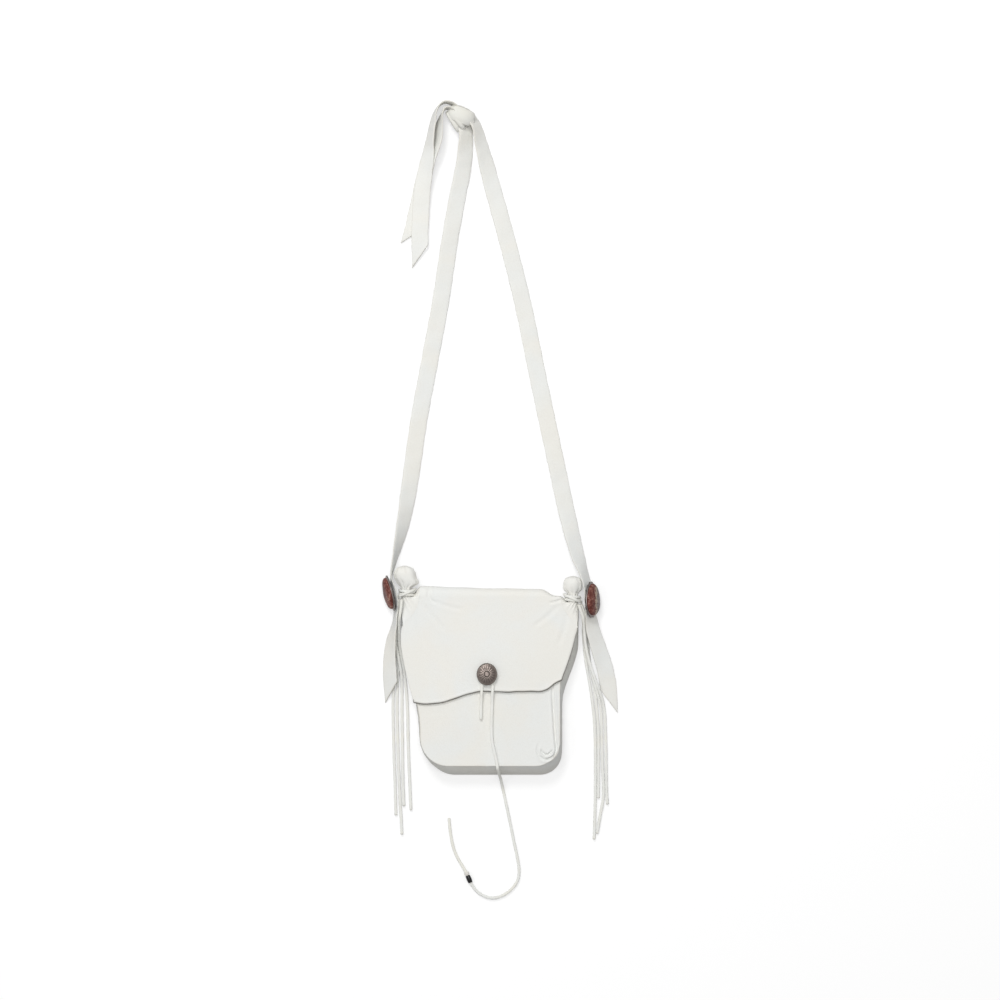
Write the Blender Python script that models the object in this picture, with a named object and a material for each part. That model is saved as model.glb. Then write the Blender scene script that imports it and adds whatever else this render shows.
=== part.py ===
"""A white deerskin shoulder pouch lying on its back with its front up.

The pouch is two panels joined by a gusset, with a flap that folds over the front. Each upper corner is
gathered into an ear, bound with lace, and carries a strap, a stone ornament and four fringe laces. The two
straps are knotted together at their far end. A domed silver button holds the tie lace on the flap.
Metres, +Z up. +X is across the pouch and +Y runs from the pouch towards the strap's knot. The origin is on
the underside of the back panel.
"""

import math

import bmesh
import bpy
import numpy as np
from mathutils import Matrix, Vector

for old in list(bpy.data.objects):
    bpy.data.objects.remove(old, do_unlink=True)

MM = 0.001

# Leather, laces and clearances
CLEARANCE = 0.3 * MM
LEATHER = 1.6 * MM
LACE_DIAMETER = 3.4 * MM
LACE_RADIUS = LACE_DIAMETER / 2

# Pouch
MOUTH_Y = 90 * MM
BACK_FOOT_Y = -113.5 * MM
FRONT_FOOT_Y = -101 * MM
BACK_HALF_FOOT = 86 * MM
FRONT_HALF_FOOT = 83 * MM
FOOT_CORNER = 34 * MM
DEPTH_AT_FOOT = 30 * MM
DEPTH_AT_MOUTH = 18 * MM
FRONT_SWELL = 2.2 * MM
GUSSET_BULGE = 1.2 * MM

# Flap and its fold, which is also the hinge line
FOLD_Y = 100 * MM
FOLD_HALF = 84 * MM
FLAP_LEFT_DROP = 125 * MM
FLAP_RIGHT_DROP = 96 * MM
FLAP_HALF = 106.5 * MM
BACK_HALF_MOUTH = FLAP_HALF - 0.5 * MM
FRONT_HALF_MOUTH = FLAP_HALF - 4 * MM

# Ears: the gathered corners, with a neck that the binding lace goes round
EAR_NECK_RADIUS = 6.2 * MM
EAR_AXIS_Z = 12.2 * MM
LEFT_NECK = (7 * MM - FLAP_HALF, FOLD_Y + 5 * MM)
RIGHT_NECK = (FLAP_HALF - 7.5 * MM, FOLD_Y - 1.5 * MM)
BINDING_TURNS = 2.0

# Straps and their knot
STRAP_WIDTH = 20 * MM
STRAP_THICKNESS = 2.2 * MM
STRAP_DROP = 576 * MM
KNOT_CENTRE = (-34 * MM, FOLD_Y + STRAP_DROP)
KNOT_RADIUS = 14 * MM
KNOT_HEIGHT = 18 * MM

# Silver button and the beads on the tie lace
BUTTON_CENTRE = (-3.6 * MM, 8.4 * MM)
BUTTON_RADIUS = 13.5 * MM
BUTTON_DOME = 4.6 * MM
BUTTON_POST_RADIUS = 2.2 * MM
BUTTON_STANDOFF = LACE_DIAMETER + 2.5 * CLEARANCE
BEAD_RADIUS = 3.1 * MM
BLACK_BEAD_LENGTH = 9.0 * MM
WHITE_BEAD_LENGTH = 3.6 * MM

# Side ornaments: a scalloped metal backing with an oval stone
ORNAMENT_LONG = 21 * MM
ORNAMENT_SHORT = 15.5 * MM
ORNAMENT_PLATE = 3.2 * MM
STONE_DOME = 4.8 * MM
STONE_SHARE = 0.78
SHANK_RADIUS = 3 * MM
SHANK_LENGTH = 1.2 * MM


def material(name, colour, roughness, metallic=0.0):
    made = bpy.data.materials.new(name)
    made.use_nodes = True
    shader = made.node_tree.nodes["Principled BSDF"]
    shader.inputs["Base Color"].default_value = (*colour, 1.0)
    shader.inputs["Roughness"].default_value = roughness
    shader.inputs["Metallic"].default_value = metallic
    made.diffuse_color = (*colour, 1.0)
    return made


def finish(name, mesh, surface):
    """Links a mesh as an object, shaded smooth with its hard edges kept."""
    mesh.materials.append(surface)
    mesh.shade_smooth()
    mesh.set_sharp_from_angle(angle=math.radians(40))
    made = bpy.data.objects.new(name, mesh)
    bpy.context.scene.collection.objects.link(made)
    return made


def loft(name, rings, surface):
    """Skins a row of equal rings of points and closes each end with a cap."""
    shape = bmesh.new()
    loops = [[shape.verts.new(point) for point in ring] for ring in rings]
    for here, there in zip(loops, loops[1:]):
        for i, corner in enumerate(here):
            j = (i + 1) % len(here)
            shape.faces.new((corner, here[j], there[j], there[i]))
    shape.faces.new(loops[0])
    shape.faces.new(loops[-1])
    bmesh.ops.recalc_face_normals(shape, faces=shape.faces)
    mesh = bpy.data.meshes.new(name)
    shape.to_mesh(mesh)
    shape.free()
    return finish(name, mesh, surface)


def leather_sheet(name, net, surface, grow):
    """A sheet of leather: a net of points, thickened to one side by a Solidify modifier."""
    rows, columns = net.shape[:2]
    index = np.arange(rows * columns).reshape(rows, columns)
    faces = np.stack((index[:-1, :-1], index[:-1, 1:], index[1:, 1:], index[1:, :-1]), -1)
    mesh = bpy.data.meshes.new(name)
    mesh.from_pydata(net.reshape(-1, 3).tolist(), [], faces.reshape(-1, 4).tolist())
    made = finish(name, mesh, surface)
    solid = made.modifiers.new("Leather", "SOLIDIFY")
    solid.thickness = LEATHER
    solid.offset = grow
    return made


def smooth_route(route, step):
    """Points at even steps along a smooth curve through the route's own points."""
    route = np.array(route, float)
    spans = np.linalg.norm(np.diff(route[:, :3], axis=0), axis=1)[:, None]
    slopes = np.diff(route, axis=0) / spans
    inner = (slopes[:-1] * spans[1:] + slopes[1:] * spans[:-1]) / (spans[:-1] + spans[1:])
    tangents = np.vstack((slopes[:1], inner, slopes[-1:]))
    dense = []
    for i, span in enumerate(spans):
        for t in np.linspace(0, 1, 16, endpoint=False):
            dense.append(
                (2 * t**3 - 3 * t**2 + 1) * route[i]
                + (t**3 - 2 * t**2 + t) * span * tangents[i]
                + (3 * t**2 - 2 * t**3) * route[i + 1]
                + (t**3 - t**2) * span * tangents[i + 1]
            )
    dense = np.array(dense + [route[-1]])
    walked = np.concatenate(([0], np.cumsum(np.linalg.norm(np.diff(dense[:, :3], axis=0), axis=1))))
    marks = np.linspace(0, walked[-1], max(3, round(walked[-1] / step) + 1))
    return np.column_stack([np.interp(marks, walked, column) for column in dense.T])


def even_points(route, count):
    """The same, for a flat edge: a set number of points."""
    flat = np.array([(x, y, 0.0) for x, y in route])
    fine = smooth_route(flat, 1 * MM)
    walked = np.concatenate(([0], np.cumsum(np.linalg.norm(np.diff(fine, axis=0), axis=1))))
    marks = np.linspace(0, walked[-1], count)
    return np.column_stack([np.interp(marks, walked, fine[:, k]) for k in range(2)])


def patch(bottom, top, left, right):
    """A net of flat points blended between four edges that share their corners."""
    u = np.linspace(0, 1, len(bottom))[None, :, None]
    v = np.linspace(0, 1, len(left))[:, None, None]
    between = (1 - v) * bottom[None] + v * top[None] + (1 - u) * left[:, None] + u * right[:, None]
    corners = (
        (1 - u) * (1 - v) * bottom[0] + u * (1 - v) * bottom[-1] + (1 - u) * v * top[0] + u * v * top[-1]
    )
    return between - corners


def raised(net, height):
    """Flat points lifted to a height that depends on where they lie."""
    return np.dstack((net, height(net[..., 0], net[..., 1])))


def bag_depth(y):
    """Height of the front's outer face at the edge of the pouch: it grows evenly from mouth to foot."""
    return DEPTH_AT_MOUTH + (DEPTH_AT_FOOT - DEPTH_AT_MOUTH) * (MOUTH_Y - y) / (MOUTH_Y - FRONT_FOOT_Y)


def front_top(x, y):
    """The front's outer face, swelling a little towards its middle."""
    middle = (MOUTH_Y + FRONT_FOOT_Y) / 2
    across = np.clip(1 - (x / FRONT_HALF_FOOT) ** 2, 0, 1) ** 2
    along = np.clip(1 - ((y - middle) / (MOUTH_Y - middle)) ** 2, 0, 1) ** 2
    return bag_depth(y) + FRONT_SWELL * across * along


def flap_under(x, y):
    return front_top(x, y) + CLEARANCE


def flap_top(x, y):
    return flap_under(x, y) + LEATHER


WHITE_HIDE = material("white_deerskin", (0.80, 0.79, 0.75), 0.85)
LACE_HIDE = material("white_lace", (0.79, 0.78, 0.73), 0.85)
STRAP_HIDE = material("white_strap", (0.80, 0.79, 0.75), 0.85)
GUSSET_HIDE = material("gusset_hide", (0.74, 0.73, 0.69), 0.9)
OLD_SILVER = material("old_silver", (0.42, 0.38, 0.36), 0.38, 1.0)
DARK_SILVER = material("dark_silver", (0.30, 0.27, 0.26), 0.5, 1.0)
RED_STONE = material("red_brown_stone", (0.20, 0.055, 0.04), 0.3)
BLACK_BEAD = material("black_bead", (0.012, 0.012, 0.014), 0.25)
SILVER_BEAD = material("silver_bead", (0.6, 0.58, 0.55), 0.35, 1.0)

# Panels and gusset
SIDE_STEPS, CORNER_STEPS, FOOT_STEPS = 9, 8, 8
NARROWING = (-60 * MM, 58 * MM)


def half_width(y, at_foot, at_mouth):
    """Half the pouch's width: even at the foot, widening through the middle towards the mouth."""
    t = np.clip((y - NARROWING[0]) / (NARROWING[1] - NARROWING[0]), 0, 1)
    return at_foot + (at_mouth - at_foot) * t * t * (3 - 2 * t)


def panel_outline(at_foot, at_mouth, foot_y):
    """A panel's edge from the left end of the mouth, round the foot, to the right end."""
    side_end = foot_y + FOOT_CORNER
    side = [(half_width(y, at_foot, at_mouth), y) for y in np.linspace(MOUTH_Y, side_end, SIDE_STEPS + 1)]
    turn = [math.pi / 2 * k / CORNER_STEPS for k in range(1, CORNER_STEPS + 1)]
    reach = half_width(side_end, at_foot, at_mouth)
    corner = [
        (reach - FOOT_CORNER * (1 - math.cos(a)), side_end - FOOT_CORNER * math.sin(a)) for a in turn
    ]
    right = side + corner
    left = [(-x, y) for x, y in right]
    foot = [(x, foot_y) for x in np.linspace(left[-1][0], right[-1][0], FOOT_STEPS + 1)[1:-1]]
    return np.array(left + foot + right[::-1])


def panel_net(outline, top_edge):
    """The panel's net: its four edges meet in the middle of the rounded corners and at the mouth."""
    turn = SIDE_STEPS + CORNER_STEPS // 2
    left = outline[: turn + 1][::-1]
    right = outline[-turn - 1 :]
    bottom = outline[turn : len(outline) - turn]
    top = even_points(top_edge(left[-1], right[-1]), len(bottom))
    top[0], top[-1] = left[-1], right[-1]
    return patch(bottom, top, left, right)


def back_top_edge(start, end):
    """The back's top edge: level along the fold, cut away at both corners for the ears."""
    return [start, (-FOLD_HALF - 6 * MM, FOLD_Y - 3 * MM), (-FOLD_HALF, FOLD_Y), (0, FOLD_Y)] + [
        (FOLD_HALF, FOLD_Y),
        (FOLD_HALF + 6 * MM, FOLD_Y - 3 * MM),
        end,
    ]


back_outline = panel_outline(BACK_HALF_FOOT, BACK_HALF_MOUTH, BACK_FOOT_Y)
front_outline = panel_outline(FRONT_HALF_FOOT, FRONT_HALF_MOUTH, FRONT_FOOT_Y)

back_net = panel_net(back_outline, back_top_edge)
back_net[..., 1] = np.minimum(back_net[..., 1], FOLD_Y)
back_net[-1, (np.abs(back_net[-1, :, 0]) < FOLD_HALF), 1] = FOLD_Y
leather_sheet("back_panel", raised(back_net, lambda x, y: 0 * x), WHITE_HIDE, 1)

front_net = panel_net(front_outline, lambda start, end: [start, (0, MOUTH_Y), end])
leather_sheet("front_panel", raised(front_net, lambda x, y: front_top(x, y) - LEATHER), WHITE_HIDE, 1)


def inward(outline):
    """Unit vectors across an edge, pointing into the panel."""
    along = np.gradient(outline, axis=0)
    along /= np.linalg.norm(along, axis=1)[:, None]
    return np.column_stack((-along[:, 1], along[:, 0]))


def gusset_rings():
    """Cross sections of the gusset, leaning from the back's edge up to the front's smaller one."""
    low_z = LEATHER + CLEARANCE
    rings = []
    inner = inward(back_outline)
    for low, high, across in zip(back_outline, front_outline, inner):
        high_z = bag_depth(high[1]) - LEATHER - CLEARANCE
        outside = []
        inside = []
        for k in range(5):
            t = k / 4
            place = low + (high - low) * t - across * GUSSET_BULGE * math.sin(math.pi * t)
            height = low_z + (high_z - low_z) * t
            outside.append((*place, height))
            inside.append((*(place + across * LEATHER), height))
        rings.append(outside + inside[::-1])
    return rings


loft("gusset", gusset_rings(), GUSSET_HIDE)

# Fold and flap: the hide runs on from the back round the mouth and down over the front
HINGE_Z = float(flap_top(0, FOLD_Y)) / 2
FOLD_START_Y = FOLD_Y + CLEARANCE
FOLD_REACH_LEFT = 3.0 * MM
FOLD_REACH_RIGHT = -1.2 * MM


def fold_net():
    """Half a tube between the back's top edge and the flap, a little fuller on the left."""
    turns = np.linspace(-math.pi / 2, math.pi / 2, 11)
    net = []
    for angle in turns:
        row = []
        for t in np.linspace(0, 1, 13):
            fuller = FOLD_REACH_LEFT + (FOLD_REACH_RIGHT - FOLD_REACH_LEFT) * t
            reach = (HINGE_Z + fuller) * math.cos(angle)
            row.append((FOLD_HALF * (2 * t - 1), FOLD_START_Y + reach, HINGE_Z * (1 + math.sin(angle))))
        net.append(row)
    return np.array(net)


leather_sheet("flap_fold", fold_net(), WHITE_HIDE, 1)


def shoulder_cut(side):
    """The line from the fold's end to the flap's side, where the gathered corner begins."""
    return [
        (side * FOLD_HALF, FOLD_Y),
        (side * (FOLD_HALF + 3 * MM), FOLD_Y - 11.5 * MM),
        (side * (FOLD_HALF + 9 * MM), FOLD_Y - 22 * MM),
        (side * (FLAP_HALF - 1.5 * MM), FOLD_Y - 36 * MM),
    ]


def flap_net():
    """The flap, with the hide's natural edge below: lower on the left, rising in a step to the right."""
    left_y, right_y = FOLD_Y - FLAP_LEFT_DROP, FOLD_Y - FLAP_RIGHT_DROP
    left_x, right_x = -FLAP_HALF + 15.5 * MM, FLAP_HALF - 18.5 * MM
    middle_y = left_y + 13 * MM
    bottom = [
        (left_x, left_y),
        (left_x + 8 * MM, left_y - 1.4 * MM),
        (left_x + 37 * MM, left_y + 1 * MM),
        (left_x + 55 * MM, left_y + 7 * MM),
        (left_x + 77 * MM, middle_y),
        (right_x - 52 * MM, middle_y),
        (right_x - 22 * MM, middle_y + 1 * MM),
        (right_x - 9 * MM, middle_y + 8 * MM),
        (right_x, right_y),
    ]
    left = [
        (left_x, left_y),
        (left_x - 7 * MM, left_y + 25 * MM),
        (-FLAP_HALF + 3 * MM, left_y + 50 * MM),
        (-FLAP_HALF, left_y + 73 * MM),
    ] + shoulder_cut(-1)[::-1]
    right = [
        (right_x, right_y),
        (right_x + 8 * MM, right_y + 13 * MM),
        (right_x + 14 * MM, right_y + 28 * MM),
        (FLAP_HALF, right_y + 46 * MM),
    ] + shoulder_cut(1)[::-1]
    top = [(-FOLD_HALF, FOLD_Y), (0, FOLD_Y), (FOLD_HALF, FOLD_Y)]
    return patch(even_points(bottom, 25), even_points(top, 25), even_points(left, 21), even_points(right, 21))


leather_sheet("flap", raised(flap_net(), flap_under), WHITE_HIDE, 1)


def shoulder(name, side, neck):
    """The corner of the flap beside the cut, drawn in under the binding. It stays with the pouch."""
    cut = even_points(shoulder_cut(side), 13)
    along = np.gradient(cut, axis=0)
    along /= np.linalg.norm(along, axis=1)[:, None]
    outward = side * np.column_stack((-along[:, 1], along[:, 0]))
    near = cut + 3 * CLEARANCE * outward
    limit = neck[1] - (BINDING_TURNS + 1) / 2 * (LACE_DIAMETER + CLEARANCE) - 3 * CLEARANCE
    far = even_points(
        [
            tuple(near[0] + np.array((side * 0.6 * MM, 0))),
            (side * (FOLD_HALF + 7 * MM), min(limit, FOLD_Y) - 0.6 * MM),
            (side * (FLAP_HALF - 4 * MM), min(limit, FOLD_Y) - 3 * MM),
            (side * (FLAP_HALF - 1 * MM), FOLD_Y - 20 * MM),
            tuple(near[-1] + np.array((side * 0.6 * MM, 0))),
        ],
        13,
    )
    share = np.linspace(0, 1, 5)[:, None, None]
    net = near[None] * (1 - share) + far[None] * share
    return leather_sheet(name, raised(net if side > 0 else net[::-1], flap_under), WHITE_HIDE, 1)


shoulder("shoulder_left", -1, LEFT_NECK)
shoulder("shoulder_right", 1, RIGHT_NECK)


def ear(name, neck, skirt, ball, lean):
    """A gathered corner: a skirt on the pouch, a bound neck, and a pleated tuft beyond it.

    ball is the tuft's half width, half height and length. The outline is read from a smooth curve.
    """
    wide, tall, long = ball
    neck_half = (BINDING_TURNS + 1) / 2 * (LACE_DIAMETER + CLEARANCE)
    profile = [
        (MOUTH_Y + 2 * CLEARANCE, skirt, 6.4 * MM, 0.0, 9.2 * MM),
        (neck[1] - neck_half - 1 * MM, EAR_NECK_RADIUS + 0.6 * MM, EAR_NECK_RADIUS, 0.0, EAR_AXIS_Z),
        (neck[1] - neck_half + 1 * MM, EAR_NECK_RADIUS, EAR_NECK_RADIUS, 0.0, EAR_AXIS_Z),
        (neck[1] + neck_half - 1 * MM, EAR_NECK_RADIUS, EAR_NECK_RADIUS, 0.0, EAR_AXIS_Z),
        (neck[1] + neck_half + 1 * MM, EAR_NECK_RADIUS + 1 * MM, EAR_NECK_RADIUS + 1 * MM, 0.1, EAR_AXIS_Z),
        (neck[1] + neck_half + 0.24 * long, 0.86 * wide, 0.9 * tall, 0.6, EAR_AXIS_Z),
        (neck[1] + neck_half + 0.5 * long, wide, tall, 1.0, EAR_AXIS_Z),
        (neck[1] + neck_half + 0.76 * long, 0.88 * wide, 0.86 * tall, 1.0, EAR_AXIS_Z),
        (neck[1] + neck_half + 0.94 * long, 0.52 * wide, 0.5 * tall, 1.0, EAR_AXIS_Z),
        (neck[1] + neck_half + long, 0.12 * wide, 0.12 * tall, 1.0, EAR_AXIS_Z),
    ]
    # The pleats run lengthwise and open out from the neck.
    rings = []
    for y, half_x, half_z, shift, z in profile:
        ring = []
        for k in range(28):
            a = 2 * math.pi * k / 28
            pleat = 1 - 0.045 * (1 + math.cos(7 * a)) / 2 * min(1.0, abs(y - neck[1]) / neck_half)
            ring.append((neck[0] + lean * shift + half_x * pleat * math.cos(a), y, z + half_z * pleat * math.sin(a)))
        rings.append(ring)
    return loft(name, rings, WHITE_HIDE)


LEFT_BALL = (13.7 * MM, 10.2 * MM, 27 * MM)
RIGHT_BALL = (11.5 * MM, 9.6 * MM, 21 * MM)
ear("ear_left", LEFT_NECK, 8.0 * MM, LEFT_BALL, -2.5 * MM)
ear("ear_right", RIGHT_NECK, 8.5 * MM, RIGHT_BALL, 0.0)


def cord(name, route, surface, spacing=2.3):
    """A round lace along a smooth route, with a point every few diameters."""
    return tube(name, smooth_route(route, spacing * LACE_DIAMETER), surface)


def tube(name, points, surface):
    line = bpy.data.curves.new(name, "CURVE")
    line.dimensions = "3D"
    line.bevel_depth = LACE_RADIUS
    line.bevel_resolution = 2
    line.use_fill_caps = True
    spline = line.splines.new("POLY")
    spline.points.add(len(points) - 1)
    for place, point in zip(spline.points, points):
        place.co = (*point[:3], 1.0)
    line.materials.append(surface)
    made = bpy.data.objects.new(name, line)
    bpy.context.scene.collection.objects.link(made)
    return made


def binding(name, neck):
    """Turns of lace wound side by side round the neck of an ear."""
    radius = EAR_NECK_RADIUS + LACE_RADIUS + 2 * CLEARANCE
    pitch = LACE_DIAMETER + 1.4 * CLEARANCE
    points = []
    for k in range(round(14 * BINDING_TURNS) + 1):
        t = k / 14
        a = 2 * math.pi * t - math.pi / 2
        points.append(
            (neck[0] + radius * math.cos(a), neck[1] + pitch * (t - BINDING_TURNS / 2), EAR_AXIS_Z + radius * math.sin(a))
        )
    return tube(name, points, LACE_HIDE)


binding("binding_left", LEFT_NECK)
binding("binding_right", RIGHT_NECK)

# Fringe: four laces hang from each binding and lie on the floor beside the pouch
ON_FLOOR = LACE_RADIUS


def fringe(name, side, top, rest):
    """top: route points with their own height over the floor. rest: points that lie on the floor.

    The first number of each point is how far out it is from the flap's side.
    """
    route = [(x, y, z * MM) for x, y, z in top] + [(x, y, ON_FLOOR) for x, y in rest]
    route = [(side * (FLAP_HALF + x * MM), y * MM, z) for x, y, z in route]
    return cord(name, route, LACE_HIDE, 3.0)


fringe(
    "fringe_left_1",
    -1,
    [(3.3, 97.8, 7.6), (2.5, 84, 3.4)],
    [(4.7, 68), (6.4, 52), (6.7, 36), (7.7, 10), (9.7, -24), (9.1, -72), (7.5, -120), (6.3, -162)],
)
fringe(
    "fringe_left_2",
    -1,
    [(3.5, 97.8, 11.8), (2.3, 84, 7.4), (2.5, 66, 4.2)],
    [(2.9, 46), (3.7, 10), (4.9, -24), (4.1, -72), (2, -130), (-0.9, -185)],
)
fringe(
    "fringe_left_3",
    -1,
    [(2.5, 97.8, 16), (2.2, 84, 11.8), (3.7, 66, 8.0), (6.1, 44, 5.5), (2.5, 24, 5.9), (-0.3, 4, 3.8)],
    [(-0.9, -12), (-0.9, -36), (-1.5, -72), (-2.1, -120), (-3.3, -151)],
)
fringe(
    "fringe_left_4",
    -1,
    [(-1.1, 97.6, 22.6), (-0.3, 88, 22.8), (1.1, 78, 21.4), (2.4, 68, 15.2), (2.4, 57, 10.6), (2.3, 46, 7.2), (-0.3, 28, 4)],
    [(-3.6, 8), (-6.1, -12), (-7.7, -40), (-8.3, -72), (-9.7, -110), (-11.7, -156)],
)
fringe(
    "fringe_right_1",
    1,
    [(2.1, 91.4, 9), (5.1, 74, 5.2)],
    [(5.5, 54), (8, 26), (13, -4), (17.5, -36), (19.5, -66), (19.9, -104), (19.7, -146), (18.3, -191)],
)
fringe(
    "fringe_right_2",
    1,
    [(2.9, 91.4, 13.4), (8.9, 74, 9.5)],
    [(10.1, 52), (12.5, 26), (17.5, -4), (21.7, -36), (23.5, -66), (23.7, -104), (23.4, -141.5)],
)
fringe(
    "fringe_right_3",
    1,
    [(2.4, 91.4, 17.6), (7.3, 76, 13.8), (7.9, 56, 6.4), (10.3, 28, 5.6), (18.7, -4, 5.8)],
    [(26.3, -34), (27.5, -66), (28.5, -104), (29.1, -143), (25.5, -163), (21.9, -184)],
)
fringe(
    "fringe_right_4",
    1,
    [(-0.5, 91.2, 22.4), (4.1, 78, 20), (6.1, 60, 12), (7.7, 44, 10), (13.1, 20, 9.4), (22.1, -6, 7.8)],
    [(29.7, -30), (32.1, -66), (32.9, -104), (33.3, -132), (34.3, -149)],
)

# Side ornaments, each with its plate's back centre, the way its long axis points and its tilt from upright
ORNAMENT_Z = EAR_AXIS_Z + 3 * MM
LEFT_CENTRE = Vector((-FLAP_HALF - 11.9 * MM, LEFT_NECK[1], ORNAMENT_Z))
RIGHT_CENTRE = Vector((FLAP_HALF + 14.1 * MM, RIGHT_NECK[1] - 1.5 * MM, ORNAMENT_Z))
LEFT_ORNAMENT = (LEFT_CENTRE, Vector((-0.22, 0.975, 0)).normalized(), math.radians(25), -1)
RIGHT_ORNAMENT = (RIGHT_CENTRE, Vector((-0.03, 1, 0)).normalized(), math.radians(30), 1)


def ornament_axes(ornament):
    """The plate's outward normal, which looks sideways and a little up."""
    _, long_axis, tilt, side = ornament
    sideways = Vector((long_axis.y, -long_axis.x, 0)) * side
    return math.cos(tilt) * sideways + math.sin(tilt) * Vector((0, 0, 1))


def oval_ring(half_short, half_long, height, scallop):
    """An oval, with a scalloped edge where scallop isn't nought."""
    ring = []
    count = 48 if scallop else 32
    for k in range(count):
        a = 2 * math.pi * k / count
        grow = 1 + scallop * math.cos(12 * a)
        ring.append((half_short * grow * math.cos(a), half_long * grow * math.sin(a), height))
    return ring


def ornament(label, placed):
    """A scalloped metal plate with a shank behind it, and the stone that sits on it."""
    centre, long_axis, _, _ = placed
    normal = ornament_axes(placed)
    turn = Matrix((long_axis.cross(normal), long_axis, normal)).transposed()
    place = Matrix.Translation(centre) @ turn.to_4x4()
    short, long = ORNAMENT_SHORT, ORNAMENT_LONG
    plate = [
        oval_ring(SHANK_RADIUS, SHANK_RADIUS, -SHANK_LENGTH, 0.001),
        oval_ring(SHANK_RADIUS, SHANK_RADIUS, 0, 0.001),
        oval_ring(0.9 * short, 0.92 * long, 0, 0.03),
        oval_ring(short, long, 0.3 * ORNAMENT_PLATE, 0.04),
        oval_ring(short, long, 0.7 * ORNAMENT_PLATE, 0.04),
        oval_ring(0.92 * short, 0.94 * long, ORNAMENT_PLATE, 0.03),
    ]
    backing = loft("ornament_backing_" + label, plate, DARK_SILVER)
    backing.matrix_world = place
    dome = []
    for k in range(7):
        a = math.pi / 2 * k / 6.3
        size = STONE_SHARE * math.cos(a) ** 0.8
        height = ORNAMENT_PLATE + CLEARANCE + STONE_DOME * math.sin(a)
        dome.append(oval_ring(size * short, size * long, height, 0))
    stone = loft("ornament_stone_" + label, dome, RED_STONE)
    stone.matrix_world = place


ornament("left", LEFT_ORNAMENT)
ornament("right", RIGHT_ORNAMENT)


def behind(placed):
    """Where the strap's middle passes, behind an ornament's shank."""
    centre = placed[0] - ornament_axes(placed) * (SHANK_LENGTH + CLEARANCE + STRAP_THICKNESS / 2)
    return centre


def ribbon(name, stations, cut):
    """A flat strap along stations of (x, y, height, roll), in metres and degrees.

    Roll turns the strap about its own run, and at 0 it lies flat. cut shifts the two corners of its free
    end along the strap, so that it ends in a slant. Heights left out rest the strap's lower edge on the floor.
    """
    half_w, half_t = STRAP_WIDTH / 2, STRAP_THICKNESS / 2
    full = []
    for x, y, z, roll in stations:
        a = math.radians(roll)
        rest = half_w * abs(math.sin(a)) + half_t * abs(math.cos(a)) + CLEARANCE / 2
        full.append((x, y, rest if z is None else z, roll * MM))
    line = smooth_route(full, 9 * MM)
    along = np.gradient(line[:, :3], axis=0)
    along /= np.linalg.norm(along, axis=1)[:, None]
    level = np.column_stack((-along[:, 1], along[:, 0], 0 * along[:, 0]))
    level /= np.linalg.norm(level, axis=1)[:, None]
    upward = np.cross(along, level)
    roll = np.radians(line[:, 3] / MM)[:, None]
    across = np.cos(roll) * level + np.sin(roll) * upward
    through = np.cross(along, across)
    rings = []
    for i, point in enumerate(line[:, :3]):
        shift = np.array(cut) if i == len(line) - 1 else np.zeros(2)
        left = point - across[i] * half_w + along[i] * shift[0]
        right = point + across[i] * half_w + along[i] * shift[1]
        rings.append(
            [
                left - through[i] * half_t,
                right - through[i] * half_t,
                right + through[i] * half_t,
                left + through[i] * half_t,
            ]
        )
    rings = np.array(rings)
    rings[..., 2] = np.maximum(rings[..., 2], CLEARANCE / 3)
    return loft(name, rings.tolist(), STRAP_HIDE)


def stations(rows):
    return [(x * MM, y * MM, None if z is None else z * MM, roll) for x, y, z, roll in rows]


def by_knot(rows):
    """Stations measured from the middle of the knot."""
    return [(x + KNOT_CENTRE[0], y + KNOT_CENTRE[1], z, roll) for x, y, z, roll in stations(rows)]


def along_drop(rows):
    """Stations of the straps between the pouch and the knot. Their second number is a share of the drop."""
    return [(x * MM, FOLD_Y + share * STRAP_DROP, None, roll) for x, share, roll in rows]


def beside(side, rows):
    """Stations near the pouch. Their first number is how far out they are from the flap's side."""
    return [(side * (FLAP_HALF + x), y, z, roll) for x, y, z, roll in stations(rows)]


left_pass, right_pass = behind(LEFT_ORNAMENT), behind(RIGHT_ORNAMENT)

ribbon(
    "strap_left",
    by_knot(
        [
            (5.1, -14.2, None, -50),
            (3.4, -52, None, -38),
        ]
    )
    + along_drop(
        [
            (-39.6, 0.8264, -30),
            (-48, 0.7431, -34),
            (-58.8, 0.6181, -28),
            (-72, 0.4931, -20),
            (-85.2, 0.3681, -20),
            (-95.4, 0.2431, -26),
        ]
    )
    + beside(
        -1,
        [
            (-3.3, 192, None, -42),
            (4.3, 158, None, -54),
            (9.3, 138, None, -72),
            (11.6, 126, None, -88),
            (11.3, 117, None, -98),
        ]
    )
    + [(left_pass.x, left_pass.y, left_pass.z - 1 * MM, -115)]
    + beside(
        -1,
        [
            (7.1, 93, 12.8, -112),
            (6.1, 84, None, -106),
            (6.9, 74, None, -103),
            (8.5, 64, None, -108),
            (11.9, 48, None, -124),
            (14.5, 24, None, -136),
            (14.9, 0, None, -140),
            (16.1, -14, None, -142),
        ]
    ),
    (-7 * MM, 9 * MM),
)
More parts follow.
